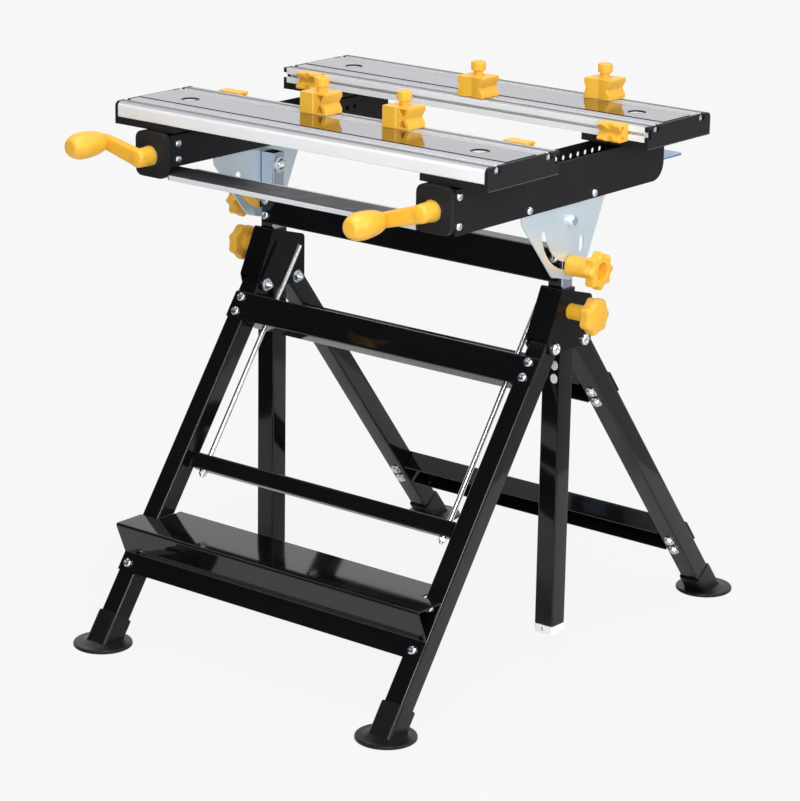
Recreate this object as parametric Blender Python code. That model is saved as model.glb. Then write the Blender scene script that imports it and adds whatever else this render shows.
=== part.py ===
"""Folding workbench with two clamping jaws on a tilting, height-adjustable top.

Metres, +Z up. X runs along the jaws, -Y is the side of the cranks and the step plate,
and the origin lies on the floor midway between the four feet.
"""
import math

import bmesh
import bpy
from mathutils import Vector
from mathutils.geometry import delaunay_2d_cdt

MM = 0.001
SIDES = (("l", -1), ("r", 1))

# Fits between pieces
SEAT = 0.3 * MM
PIN_CLEARANCE = 0.3 * MM
SLOT_CLEARANCE = 0.6 * MM

# Square tubes and bent sheet of the stand
TUBE = 25.0 * MM
TUBE_WALL = 2.0 * MM
TUBE_CORNER = 2.5 * MM
SHEET = 1.8 * MM
BEND = 2.6 * MM
LEG_X = 209.0 * MM
POST_Y = -14.0 * MM
POST_BOTTOM = 48.0 * MM
POST_TOP = 440.0 * MM
PLUG_HEIGHT = 10.0 * MM
PLUG_SPIGOT = 11.0 * MM
BAR_OVERHANG = 12.0 * MM
BAR_HEIGHT = 34.0 * MM
BAR_DEPTH = 26.0 * MM

# Head brackets and leg pivots
BRACKET_WALL = 2.0 * MM
PIVOT_Z = 377.5 * MM
PIVOT_SPREAD = 27.5 * MM
PIN_RADIUS = 4.0 * MM
PIN_HEAD_RADIUS = 6.5 * MM
PIN_HEAD_HEIGHT = 5.0 * MM
BRACKET_TOP = (-15.2 * MM, 442.5 * MM)
BRACKET_KNEE = (-40.5 * MM, 389.0 * MM)
BRACKET_TOE = (-36.0 * MM, 371.0 * MM)
BRACKET_REAR = 41.0 * MM
BRACKET_REAR_TOP = 427.0 * MM
BRACKET_ROUNDS = (3.0 * MM, 4.0 * MM, 5.0 * MM, 5.0 * MM, 6.0 * MM)

# Legs and feet
FOOT_Y = 306.6 * MM
LEG_HEAD = 7.0 * MM
LEG_TAIL = 15.0 * MM
FOOT_RADIUS = 34.0 * MM
FOOT_RIM = 4.5 * MM
FOOT_DISH = 3.2 * MM
FOOT_CROWN = 6.5 * MM
FOOT_SLEEVE = 30.0 * MM
FOOT_SLEEVE_LENGTH = 37.0 * MM
FRONT_BAR_AT = 35.0 * MM
REAR_UPPER_BAR_AT = 91.0 * MM
REAR_LOWER_BAR_AT = 373.0 * MM

# Step plate, as heights and depths in world axes
STEP_Z = 135.0 * MM
STEP_FRONT = -272.0 * MM
STEP_REAR = -192.0 * MM
STEP_KNEE_Z = 97.0 * MM
STEP_LIP_Z = 79.0 * MM
STEP_TAB_Z = 117.0 * MM
STEP_TAB_WIDTH = 22.0 * MM

# Release bar and its rods
RELEASE_AT = 223.0 * MM
RELEASE_SECTION = 15.0 * MM
RELEASE_END_GAP = 7.5 * MM
RELEASE_SETBACK = 3.0 * MM
ROD_INSET = 13.0 * MM
ROD_RADIUS = 3.0 * MM
ROD_SETBACK = 6.0 * MM
ROD_HEAD = 58.0 * MM

# Sliding column
INNER_TUBE = 20.0 * MM
INNER_WALL = 1.5 * MM
INNER_BOTTOM = 215.0 * MM
INNER_TOP = 531.0 * MM
COLUMN_BAR_BOTTOM = 446.0 * MM
COLUMN_BAR_TOP = 484.0 * MM
COLUMN_BAR_HALF = 215.0 * MM
TILT_Z = 516.5 * MM
TILT_RADIUS = 50.0 * MM
TILT_SLOT_TRAVEL = math.radians(81.0)
HEIGHT_KNOB_Z = 415.0 * MM

# Tilt plate, from the post's centre line and in heights
TILT_PLATE_TOP = 545.0 * MM
TILT_PLATE_FRONT = -92.0 * MM
TILT_PLATE_REAR = 68.0 * MM
TILT_PLATE_CORNERS = ((-90.0 * MM, 526.0 * MM), (-33.0 * MM, 458.5 * MM), (4.0 * MM, 449.0 * MM),
                      (32.0 * MM, 468.0 * MM))
TILT_PLATE_ROUNDS = (5.0 * MM, 10.0 * MM, 10.0 * MM, 10.0 * MM)
TILT_OVAL = (17.0 * MM, 478.0 * MM, 25.0 * MM, 496.0 * MM)
TILT_OVAL_ROUND = 3.9 * MM

# Star knobs
KNOB_RADIUS = 21.5 * MM
KNOB_LOBE = 2.6 * MM
KNOB_LOBES = 7
KNOB_DEPTH = 20.0 * MM
KNOB_STEM = 9.0 * MM
KNOB_RECESS = 8.0 * MM
HEIGHT_KNOB_FACE = 264.0 * MM
TILT_KNOB_FACE = 265.0 * MM
STUD_RADIUS = 3.6 * MM

# Rails, housings and tie bar of the top
PLATE = 1.5 * MM
RAIL_WIDTH = 45.6 * MM
RAIL_LOW = 535.0 * MM
RAIL_FLOOR = 550.0 * MM
RAIL_TOP = 584.5 * MM
RAIL_REAR = 160.0 * MM
RAIL_HOLE_RADIUS = 3.0 * MM
RAIL_HOLE_Z = 573.0 * MM
RAIL_HOLE_LAST = 97.0 * MM
RAIL_HOLE_PITCH = 13.8 * MM
RAIL_HOLES = 9
RAIL_CORNER = 20.0 * MM
HOUSING_FRONT = -231.5 * MM
HOUSING_DEPTH = 8.5 * MM
HOUSING_PLUG = 20.0 * MM
HOUSING_CORNER = 9.0 * MM
HOUSING_EDGE = 2.5 * MM
HOUSING_LOW = 536.0 * MM
HOUSING_TOP = 587.0 * MM
TIE_BAR_TOP = 541.5 * MM
TIE_BAR_LIP = 6.0 * MM
TIE_BAR_FRONT = -228.0 * MM
TIE_BAR_REAR = -183.0 * MM

# Spindles and cranks
SPINDLE_Z = 560.5 * MM
SPINDLE_RADIUS = 6.0 * MM
SPINDLE_END = 30.0 * MM
WASHER_RADIUS = 12.0 * MM
WASHER = 1.5 * MM
CRANK_ARM = 52.0 * MM
CRANK_PLANE = -250.0 * MM
CRANK_TIP = -307.0 * MM
CRANK_THICKNESS = 11.0 * MM
HUB_RADIUS = 11.0 * MM
ARM_HUB_ROUND = 10.0 * MM
ARM_TIP_ROUND = 8.5 * MM
GRIP_RADIUS = 15.2 * MM
GRIP_SHAPE = ((0.0, 0.50), (0.03, 0.66), (0.11, 0.78), (0.26, 0.90), (0.46, 0.98), (0.62, 1.0), (0.77, 0.94),
              (0.89, 0.80), (0.97, 0.60), (1.0, 0.42), (1.0, 0.0))
CRANK_TURN = {"l": math.radians(166.0), "r": math.radians(196.0)}

# Jaws and end caps
JAW_HALF = 262.5 * MM
JAW_TOP = 612.6 * MM
JAW_WIDTH = 124.0 * MM
JAW_HEIGHT = 17.4 * MM
JAW_SKIN = 2.2 * MM
JAW_ROUND = 6.0 * MM
FRONT_JAW_INNER = -97.9 * MM
REAR_JAW_INNER = 66.5 * MM
SLOT_INSET = 17.0 * MM
SLOT_MOUTH = 6.0 * MM
SLOT_WIDTH = 11.0 * MM
SLOT_DEPTH = 8.0 * MM
FACE_SLOT_DEPTH = 7.0 * MM
DOG_HOLE_X = 205.0 * MM
DOG_HOLE_RADIUS = 10.0 * MM
DOG_HOLE_FLOOR = 575.0 * MM
CAP_WALL = 4.2 * MM
CAP_BOTTOM = 587.0 * MM
CAP_TONGUE_X = 174.0 * MM
SHOE_HALF = 24.0 * MM

# Latch levers under the rear jaw
LEVER_WIDTH = 38.0 * MM
LEVER_SHEET = 2.0 * MM
LEVER_REACH = 51.0 * MM
LEVER_CORNER = 7.0 * MM
LEVER_PIN_RADIUS = 3.0 * MM
LEVER_PIN_Z = 556.0 * MM

# Clamping dogs
DOG_LENGTH = 36.0 * MM
DOG_DEPTH = 32.0 * MM
DOG_HEIGHT = 24.0 * MM
DOG_CORNER = 2.0 * MM
DOG_FACE_GROOVE = 2.6 * MM
DOG_FACE_OPENING = 10.0 * MM
DOG_END_GROOVE = 4.5 * MM
DOG_END_OPENING = 7.0 * MM
DOG_NECK = 5.5 * MM
DOG_KNOB = 8.5 * MM
DOG_KNOB_HEIGHT = 16.0 * MM
SIDE_DOG_LENGTH = 30.0 * MM
SIDE_DOG_HEIGHT = 20.0 * MM
SIDE_DOG_DEPTH = 18.0 * MM
UPRIGHT_DOGS = (("front_dog_a", "front", 0, -50.0 * MM), ("front_dog_b", "front", 0, 67.0 * MM),
                ("rear_dog_a", "rear", 0, 16.0 * MM), ("rear_dog_b", "rear", 1, 129.0 * MM))
SIDE_DOGS = (("front_side_dog_l", "front", -1, 58.5 * MM), ("front_side_dog_r", "front", 1, 59.5 * MM),
             ("rear_side_dog_l", "rear", -1, 49.5 * MM), ("rear_side_dog_r", "rear", 1, 40.5 * MM))

# Derived places
FRONT_LEG_ANGLE = math.atan2(FOOT_Y + POST_Y - PIVOT_SPREAD, PIVOT_Z)
REAR_LEG_ANGLE = math.atan2(FOOT_Y - POST_Y - PIVOT_SPREAD, PIVOT_Z)
BRACKET_INNER = TUBE / 2 + SEAT
BRACKET_OUTER = BRACKET_INNER + BRACKET_WALL
BAR_FLANGE_HALF = LEG_X - TUBE / 2 - 3.0 * MM
PLATE_X = LEG_X + INNER_TUBE / 2 + SEAT
RAIL_X = PLATE_X + PLATE + SEAT + PLATE
SPINDLE_X = RAIL_X - RAIL_WIDTH / 2
HOUSING_REAR = HOUSING_FRONT + HOUSING_DEPTH
JAW_BOTTOM = JAW_TOP - JAW_HEIGHT
CAP_X = JAW_HALF - CAP_WALL
RELEASE_HALF = LEG_X - TUBE / 2 - RELEASE_END_GAP
ROD_X = RELEASE_HALF - ROD_INSET

FINISHES = {
    "frame_paint": ((0.012, 0.012, 0.014), 0.22, 0.0),
    "rail_paint": ((0.025, 0.025, 0.028), 0.42, 0.0),
    "zinc": ((0.52, 0.56, 0.60), 0.30, 1.0),
    "lever_zinc": ((0.28, 0.40, 0.62), 0.32, 1.0),
    "aluminium": ((0.60, 0.60, 0.62), 0.30, 1.0),
    "yellow_plastic": ((0.90, 0.42, 0.03), 0.42, 0.0),
    "black_plastic": ((0.018, 0.018, 0.020), 0.45, 0.0),
    "rubber": ((0.012, 0.012, 0.013), 0.65, 0.0),
    "white_plastic": ((0.78, 0.78, 0.76), 0.50, 0.0),
}


def clear_scene():
    for obj in list(bpy.data.objects):
        bpy.data.objects.remove(obj, do_unlink=True)


# Frames: each turns (p, q, h) of a section and its extrusion into world axes

def along_x(sign=1, y=0.0, z=0.0):
    return lambda p, q, h: Vector((sign * h, y + p, z + q))


def along_y(x=0.0, z=0.0, sign=1):
    return lambda p, q, h: Vector((x + sign * p, h, z + q))


def along_z(x=0.0, y=0.0):
    return lambda p, q, h: Vector((x + p, y + q, h))


def leg_frame(facing, x=0.0):
    """p along X, q out of the leg's outer face, h down the leg from its pivot."""
    angle = FRONT_LEG_ANGLE if facing < 0 else REAR_LEG_ANGLE
    pivot_y = POST_Y + facing * PIVOT_SPREAD
    run, drop = math.sin(angle), math.cos(angle)
    return lambda p, q, h: Vector((x + p, pivot_y + facing * (h * run + q * drop),
                                   PIVOT_Z - h * drop + q * run))


def leg_bar_frame(facing):
    """p out of the leg's outer face, q down the leg, h along X."""
    leg = leg_frame(facing)
    return lambda p, q, h: leg(h, p, q)


# Outlines

def arc(cx, cy, radius, start, end, steps):
    return [(cx + radius * math.cos(start + (end - start) * i / steps),
             cy + radius * math.sin(start + (end - start) * i / steps)) for i in range(steps + 1)]


def rounded(width, height, radius, steps=2):
    points = []
    for index, (sx, sy) in enumerate(((1, 1), (-1, 1), (-1, -1), (1, -1))):
        start = index * math.pi / 2
        points += arc(sx * (width / 2 - radius), sy * (height / 2 - radius), radius,
                      start, start + math.pi / 2, steps)
    return points


def rectangle(p0, q0, p1, q1):
    return [(p0, q0), (p1, q0), (p1, q1), (p0, q1)]


def fillet(points, radii, steps=3, closed=True):
    """Round the corners of a polygon or a path, one radius for each point."""
    result = []
    count = len(points)
    for index, radius in enumerate(radii):
        here = Vector(points[index])
        if radius == 0.0 or (not closed and index in (0, count - 1)):
            result.append(tuple(here))
            continue
        back = (Vector(points[index - 1]) - here).normalized()
        ahead = (Vector(points[(index + 1) % count]) - here).normalized()
        half = back.angle(ahead) / 2
        centre = here + (back + ahead).normalized() * (radius / math.sin(half))
        start = here + back * (radius / math.tan(half)) - centre
        sweep = (here + ahead * (radius / math.tan(half)) - centre).angle_signed(start)
        for i in range(steps + 1):
            turn = sweep * i / steps
            result.append((centre.x + start.x * math.cos(turn) - start.y * math.sin(turn),
                           centre.y + start.x * math.sin(turn) + start.y * math.cos(turn)))
    return result


def ribbon(path, thickness):
    """Section of a bent sheet whose outer face is the path; the sheet lies on its left."""
    inner = []
    for index, point in enumerate(path):
        here = Vector(point)
        before = Vector(path[max(index - 1, 0)])
        after = Vector(path[min(index + 1, len(path) - 1)])
        steps = [s.normalized() for s in (here - before, after - here) if s.length > 0.0]
        normals = [Vector((-s.y, s.x)) for s in steps]
        mitre = sum(normals, Vector((0.0, 0.0))).normalized()
        inner.append(tuple(here + mitre * (thickness / mitre.dot(normals[0]))))
    return list(path) + inner[::-1]


def channel(depth, height, bend=BEND, sheet=SHEET):
    """C-section: web at p = 0, flanges running to p = -depth, q centred on the web."""
    path = [(-depth, height / 2), (0.0, height / 2), (0.0, -height / 2), (-depth, -height / 2)]
    return ribbon(fillet(path, [0.0, bend, bend, 0.0], 2, closed=False)[::-1], sheet)


def slot_arc(cy, cz, radius, half_width, start, end, steps=9):
    """Curved slot round a centre, with round ends; angles run from straight down to the front."""
    def at(r, angle):
        return (cy - r * math.sin(angle), cz - r * math.cos(angle))

    points = [at(radius + half_width, start + (end - start) * i / steps) for i in range(steps + 1)]
    tip_y, tip_z = at(radius, end)
    points += [(tip_y - half_width * math.sin(end + math.pi * i / 5),
                tip_z - half_width * math.cos(end + math.pi * i / 5)) for i in range(1, 5)]
    points += [at(radius - half_width, end + (start - end) * i / steps) for i in range(steps + 1)]
    tip_y, tip_z = at(radius, start)
    points += [(tip_y + half_width * math.sin(start + math.pi * i / 5),
                tip_z + half_width * math.cos(start + math.pi * i / 5)) for i in range(1, 5)]
    return points


# Shapes: lists of points and faces

def fill(loops):
    """Triangles of the area inside the first loop and outside the others."""
    points = [Vector(point) / MM for loop in loops for point in loop]
    edges = []
    for loop in loops:
        start = len(edges)
        edges += [(start + i, start + (i + 1) % len(loop)) for i in range(len(loop))]
    hull = 0
    _, _, triangles, sources, _, _ = delaunay_2d_cdt(points, edges, [], hull, 1e-6)
    result = []
    for triangle in triangles:
        corners = tuple(sources[i][0] for i in triangle)
        middle = sum((points[i] for i in corners), Vector((0.0, 0.0))) * (MM / 3)
        if sum(contains(loop, middle) for loop in loops) == 1:
            result.append(corners)
    return result


def contains(loop, point):
    inside = False
    for (p0, q0), (p1, q1) in zip(loop, loop[1:] + loop[:1]):
        if (q0 > point.y) != (q1 > point.y):
            inside ^= point.x < p0 + (p1 - p0) * (point.y - q0) / (q1 - q0)
    return inside


def extrude(outline, low, high, to_world, holes=()):
    """Prism of an outline with holes; low and high are distances, or functions of (p, q)."""
    loops = [list(outline)] + [list(hole) for hole in holes]
    flat = [point for loop in loops for point in loop]
    caps = fill(loops)
    reach = [end if callable(end) else (lambda p, q, value=end: value) for end in (low, high)]
    verts = [to_world(p, q, end(p, q)) for end in reach for p, q in flat]
    count = len(flat)
    faces = [tuple(tri) for tri in caps] + [tuple(i + count for i in reversed(tri)) for tri in caps]
    start = 0
    for loop in loops:
        size = len(loop)
        for i in range(size):
            a, b = start + i, start + (i + 1) % size
            faces.append((a, b, b + count, a + count))
        start += size
    return verts, faces


def lathe(profile, to_world, segments=14):
    """Turn (radius, height) points round the frame's own axis; a zero radius closes the end."""
    verts, faces, rings = [], [], []
    for radius, height in profile:
        if radius == 0.0:
            rings.append([len(verts)] * segments)
            verts.append(to_world(0.0, 0.0, height))
            continue
        rings.append(list(range(len(verts), len(verts) + segments)))
        for i in range(segments):
            angle = math.tau * i / segments
            verts.append(to_world(radius * math.cos(angle), radius * math.sin(angle), height))
    pairs = list(zip(rings, rings[1:]))
    if profile[0][0] > 0.0:
        pairs.append((rings[-1], rings[0]))
    for lower, upper in pairs:
        for i in range(segments):
            j = (i + 1) % segments
            corners = (lower[i], lower[j], upper[j], upper[i])
            faces.append(tuple(dict.fromkeys(corners)))
    return verts, faces


def rod(radius, low, high, to_world, segments=14):
    return lathe([(0.0, low), (radius, low), (radius, high), (0.0, high)], to_world, segments)


def block(x0, x1, y0, y1, z0, z1):
    return extrude(rectangle(x0, y0, x1, y1), z0, z1, along_z())


def together(*shapes):
    verts, faces = [], []
    for points, polygons in shapes:
        shift = len(verts)
        verts += points
        faces += [tuple(i + shift for i in polygon) for polygon in polygons]
    return verts, faces


# Objects

def make_mesh(name, shape, origin):
    verts, faces = shape
    mesh = bpy.data.meshes.new(name)
    mesh.from_pydata([point - origin for point in verts], [], faces)
    edit = bmesh.new()
    edit.from_mesh(mesh)
    bmesh.ops.recalc_face_normals(edit, faces=edit.faces)
    edit.to_mesh(mesh)
    edit.free()
    return mesh


def add_object(name, shape, origin=(0.0, 0.0, 0.0)):
    origin = Vector(origin)
    obj = bpy.data.objects.new(name, make_mesh(name, shape, origin))
    obj.location = origin
    bpy.context.scene.collection.objects.link(obj)
    return obj


def paint(obj, finish):
    colour, roughness, metallic = FINISHES[finish]
    surface = bpy.data.materials.new(obj.name + "_" + finish)
    surface.use_nodes = True
    shader = surface.node_tree.nodes["Principled BSDF"]
    shader.inputs["Base Color"].default_value = (*colour, 1.0)
    shader.inputs["Roughness"].default_value = roughness
    shader.inputs["Metallic"].default_value = metallic
    obj.data.materials.append(surface)


def piece(name, shape, finish, carrier=None, smooth=True):
    """A sub-part, carried by the empty on its joint axis."""
    origin = carrier.location if carrier else (0.0, 0.0, 0.0)
    obj = add_object(name, shape, origin)
    paint(obj, finish)
    if smooth:
        obj.data.shade_smooth()
        obj.data.set_sharp_from_angle(angle=math.radians(32.0))
    if carrier:
        obj.location = (0.0, 0.0, 0.0)
        obj.parent = carrier
    return obj


def shape_with(obj, operation, shape):
    """Cut a shape away from a piece, or weld it on."""
    tool = add_object(obj.name + "_tool_" + str(len(obj.modifiers)), shape)
    tool.hide_render = True
    tool.display_type = "WIRE"
    step = obj.modifiers.new(operation.lower(), "BOOLEAN")
    step.operation = operation
    step.solver = "EXACT"
    step.object = tool


def cut(obj, *shapes):
    shape_with(obj, "DIFFERENCE", together(*shapes))


def weld(obj, shape):
    shape_with(obj, "UNION", shape)


def joint(name, place):
    empty = bpy.data.objects.new(name, None)
    empty.empty_display_size = 0.03
    empty.location = place
    bpy.context.scene.collection.objects.link(empty)
    return empty


# Stand: posts, plugs, head brackets and pivot pins

def build_stand():
    stand = joint("stand", (0.0, 0.0, 0.0))
    for side, sign in SIDES:
        x = sign * LEG_X
        section = rounded(TUBE, TUBE, TUBE_CORNER)
        bore = rounded(TUBE - 2 * TUBE_WALL, TUBE - 2 * TUBE_WALL, TUBE_CORNER - 1.0 * MM)
        stud_hole = rod(STUD_RADIUS + PIN_CLEARANCE, LEG_X + TUBE / 4, LEG_X + TUBE,
                        along_x(sign, POST_Y, HEIGHT_KNOB_Z))
        post = piece("post_" + side, extrude(section, POST_BOTTOM, POST_TOP, along_z(x, POST_Y), [bore]),
                     "frame_paint", stand)
        cut(post, stud_hole)
        build_plug(side, x, stand)
        bracket = build_bracket(side, sign, stand)
        cut(bracket, stud_hole)
        for place, facing in (("front", -1), ("rear", 1)):
            frame = along_x(sign, POST_Y + facing * PIVOT_SPREAD, PIVOT_Z)
            piece(place + "_pivot_pin_" + side, pivot_pin(frame), "zinc", stand)


def build_plug(side, x, stand):
    cap = rounded(TUBE, TUBE, TUBE_CORNER)
    spigot = rounded(TUBE - 2 * TUBE_WALL - 2 * SEAT, TUBE - 2 * TUBE_WALL - 2 * SEAT, TUBE_CORNER - 1.0 * MM)
    top = POST_BOTTOM - SEAT
    plug = piece("post_plug_" + side, extrude(cap, POST_BOTTOM - PLUG_HEIGHT, top, along_z(x, POST_Y)),
                 "white_plastic", stand)
    weld(plug, extrude(spigot, top - PLUG_HEIGHT / 2, POST_BOTTOM + PLUG_SPIGOT, along_z(x, POST_Y)))


def build_bracket(side, sign, stand):
    frame = along_x(sign, POST_Y)
    rear_top = (BRACKET_REAR, BRACKET_REAR_TOP)
    rear_bottom = (BRACKET_REAR, BRACKET_TOE[1])
    outline = fillet([BRACKET_TOP, BRACKET_KNEE, BRACKET_TOE, rear_bottom, rear_top], BRACKET_ROUNDS)
    bracket = piece("head_bracket_" + side,
                    extrude(outline, LEG_X - BRACKET_OUTER, LEG_X + BRACKET_OUTER, frame),
                    "frame_paint", stand)
    slope = (Vector(BRACKET_TOP) - Vector(BRACKET_KNEE)).normalized()
    inward = Vector((slope.y, -slope.x)) * BRACKET_WALL
    web_low = Vector(BRACKET_KNEE) + inward
    web_high = Vector(BRACKET_TOP) + inward + slope * TUBE
    pocket = [tuple(web_high), tuple(web_low), (web_low.x - TUBE, web_low.y),
              (web_low.x - TUBE, BRACKET_TOE[1] - TUBE), (BRACKET_REAR + TUBE, BRACKET_TOE[1] - TUBE),
              (BRACKET_REAR + TUBE, web_high.y)]
    cut(bracket, extrude(pocket, LEG_X - BRACKET_INNER, LEG_X + BRACKET_INNER, frame))
    cut(bracket, *[rod(PIN_RADIUS + PIN_CLEARANCE, LEG_X - TUBE, LEG_X + TUBE,
                       along_x(sign, POST_Y + facing * PIVOT_SPREAD, PIVOT_Z)) for facing in (-1, 1)])
    return bracket


def pivot_pin(frame):
    grip = BRACKET_OUTER + SEAT
    crown = PIN_HEAD_RADIUS - 1.2 * MM
    tip = grip + PIN_HEAD_HEIGHT
    shoulder = tip - 1.2 * MM
    head = [(PIN_RADIUS, grip), (PIN_HEAD_RADIUS, grip), (PIN_HEAD_RADIUS, shoulder), (crown, tip),
            (0.0, tip)]
    profile = [(r, LEG_X - h) for r, h in reversed(head)] + [(r, LEG_X + h) for r, h in head]
    return lathe(profile, frame)


# Legs: tubes, crossbars, step plate and feet

def build_legs():
    front = joint("front_leg_hinge", (0.0, POST_Y - PIVOT_SPREAD, PIVOT_Z))
    rear = joint("rear_leg_hinge", (0.0, POST_Y + PIVOT_SPREAD, PIVOT_Z))
    for name, facing, hinge in (("front", -1, front), ("rear", 1, rear)):
        for side, sign in SIDES:
            build_leg(name, side, sign, facing, hinge)
            build_foot(name, side, sign, facing, hinge)
    crossbar = build_bar("front_crossbar", -1, FRONT_BAR_AT, front)
    cut(crossbar, *[rod_hole(sign, FRONT_BAR_AT, BAR_HEIGHT) for _, sign in SIDES])
    build_bar("rear_upper_bar", 1, REAR_UPPER_BAR_AT, rear)
    build_bar("rear_lower_bar", 1, REAR_LOWER_BAR_AT, rear)
    build_step_plate(front)
    build_release(front)


def leg_length(facing):
    angle = FRONT_LEG_ANGLE if facing < 0 else REAR_LEG_ANGLE
    return PIVOT_Z / math.cos(angle)


def build_leg(name, side, sign, facing, hinge):
    frame = leg_frame(facing, sign * LEG_X)
    section = rounded(TUBE, TUBE, TUBE_CORNER)
    bore = rounded(TUBE - 2 * TUBE_WALL, TUBE - 2 * TUBE_WALL, TUBE_CORNER - 1.0 * MM)
    leg = piece(name + "_leg_" + side,
                extrude(section, -LEG_HEAD, leg_length(facing) - LEG_TAIL, frame, [bore]),
                "frame_paint", hinge)
    cut(leg, rod(PIN_RADIUS + PIN_CLEARANCE, LEG_X - TUBE, LEG_X + TUBE,
                 along_x(sign, hinge.location.y, PIVOT_Z)))


def build_foot(name, side, sign, facing, hinge):
    x, y = sign * LEG_X, facing * FOOT_Y
    lip = FOOT_RIM / 2
    disc = [(0.0, 0.0), (FOOT_RADIUS, 0.0), (FOOT_RADIUS, FOOT_RIM), (FOOT_RADIUS - lip, FOOT_RIM),
            (FOOT_RADIUS - 2 * lip, FOOT_DISH), (FOOT_RADIUS * 0.6, FOOT_RIM), (0.0, FOOT_CROWN)]
    foot = piece(name + "_foot_" + side, lathe(disc, along_z(x, y), 24), "rubber", hinge)
    frame = leg_frame(facing, x)
    angle = FRONT_LEG_ANGLE if facing < 0 else REAR_LEG_ANGLE

    def to_base(p, q):
        return (PIVOT_Z + q * math.sin(angle) - 2.0 * MM) / math.cos(angle)

    sleeve = rounded(FOOT_SLEEVE, FOOT_SLEEVE, TUBE_CORNER + 2.0 * MM)
    weld(foot, extrude(sleeve, leg_length(facing) - FOOT_SLEEVE_LENGTH, to_base, frame))
    socket = rounded(TUBE + 2 * SEAT, TUBE + 2 * SEAT, TUBE_CORNER + SEAT)
    cut(foot, extrude(socket, leg_length(facing) - 2 * FOOT_SLEEVE_LENGTH,
                      leg_length(facing) - LEG_TAIL + SEAT, frame))


def build_bar(name, facing, at, hinge):
    """Channel whose web lies on the legs' outer faces and whose flanges stand between the legs."""
    seat = TUBE / 2 + SEAT
    section = [(seat + SHEET + p, at + q) for p, q in channel(BAR_DEPTH, BAR_HEIGHT)]
    half = LEG_X + BAR_OVERHANG
    frame = leg_bar_frame(facing)
    bar = piece(name, extrude(section, -half, half, frame), "frame_paint", hinge)
    relief = rectangle(-TUBE, at - BAR_HEIGHT, seat - SEAT / 2, at + BAR_HEIGHT)
    cut(bar, *[extrude(relief, sign * BAR_FLANGE_HALF, sign * (half + TUBE), frame) for _, sign in SIDES])
    return bar


def rod_hole(sign, at, height):
    frame = leg_frame(-1, sign * ROD_X)
    return rod(ROD_RADIUS + PIN_CLEARANCE, at - height, at + height,
               lambda p, q, h: frame(p, q - ROD_SETBACK, h), 12)


def build_step_plate(hinge):
    half = LEG_X + BAR_OVERHANG
    leg = leg_frame(-1)
    seat = TUBE / 2 + SEAT

    def on_leg(z, q):
        run = (PIVOT_Z + q * math.sin(FRONT_LEG_ANGLE) - z) / math.cos(FRONT_LEG_ANGLE)
        return (leg(0.0, q, run).y, z)

    path = [(STEP_REAR, STEP_Z), (STEP_FRONT, STEP_Z), on_leg(STEP_KNEE_Z, seat + SHEET),
            on_leg(STEP_LIP_Z, seat + SHEET)]
    section = ribbon(fillet(path, [0.0, BEND, BEND, 0.0], 3, closed=False), SHEET)
    plate = piece("step_plate", extrude(section, -half, half, along_x()), "frame_paint", hinge)
    notch = on_leg(STEP_Z - 2 * SHEET, seat)[0]
    inner = BAR_FLANGE_HALF
    cut(plate, *[block(sign * inner, sign * (half + TUBE), notch, STEP_REAR + TUBE,
                       STEP_Z - 5 * SHEET, STEP_Z + 5 * SHEET) for _, sign in SIDES])
    tab = [on_leg(STEP_TAB_Z, seat), on_leg(STEP_TAB_Z, seat + SHEET),
           on_leg(STEP_Z - SHEET / 3, seat + SHEET), on_leg(STEP_Z - SHEET / 3, seat)]
    for _, sign in SIDES:
        weld(plate, extrude(tab, LEG_X - STEP_TAB_WIDTH / 2, LEG_X + STEP_TAB_WIDTH / 2, along_x(sign)))


def build_release(front):
    place = leg_frame(-1)(0.0, -RELEASE_SETBACK, RELEASE_AT)
    slide = joint("release_slide", place)
    frame = leg_bar_frame(-1)

    def bar_frame(p, q, h):
        return frame(p - RELEASE_SETBACK, q + RELEASE_AT, h)

    wall = 1.5 * MM
    section = rounded(RELEASE_SECTION, RELEASE_SECTION, 3.0 * MM)
    bore = rounded(RELEASE_SECTION - 2 * wall, RELEASE_SECTION - 2 * wall, 1.5 * MM)
    bar = piece("release_bar", extrude(section, -RELEASE_HALF, RELEASE_HALF, bar_frame, [bore]),
                "frame_paint", slide)
    cut(bar, *[rod_hole(sign, RELEASE_AT, RELEASE_SECTION) for _, sign in SIDES])
    low = RELEASE_AT + RELEASE_SECTION / 2 + SEAT
    high = RELEASE_AT - RELEASE_SECTION / 2 - SEAT
    nut = 5.0 * MM
    profile = [(0.0, -ROD_HEAD), (ROD_RADIUS, -ROD_HEAD), (ROD_RADIUS, high - nut), (nut, high - nut),
               (nut, high), (ROD_RADIUS, high), (ROD_RADIUS, low), (nut, low), (nut, low + nut),
               (nut * 0.7, low + 1.6 * nut), (0.0, low + 1.9 * nut)]
    for side, sign in SIDES:
        leg = leg_frame(-1, sign * ROD_X)
        piece("release_rod_" + side,
              lathe(profile, lambda p, q, h: leg(p, q - ROD_SETBACK, h), 12), "zinc", slide)


# Column: inner posts, column bar and the two pairs of star knobs

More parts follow.
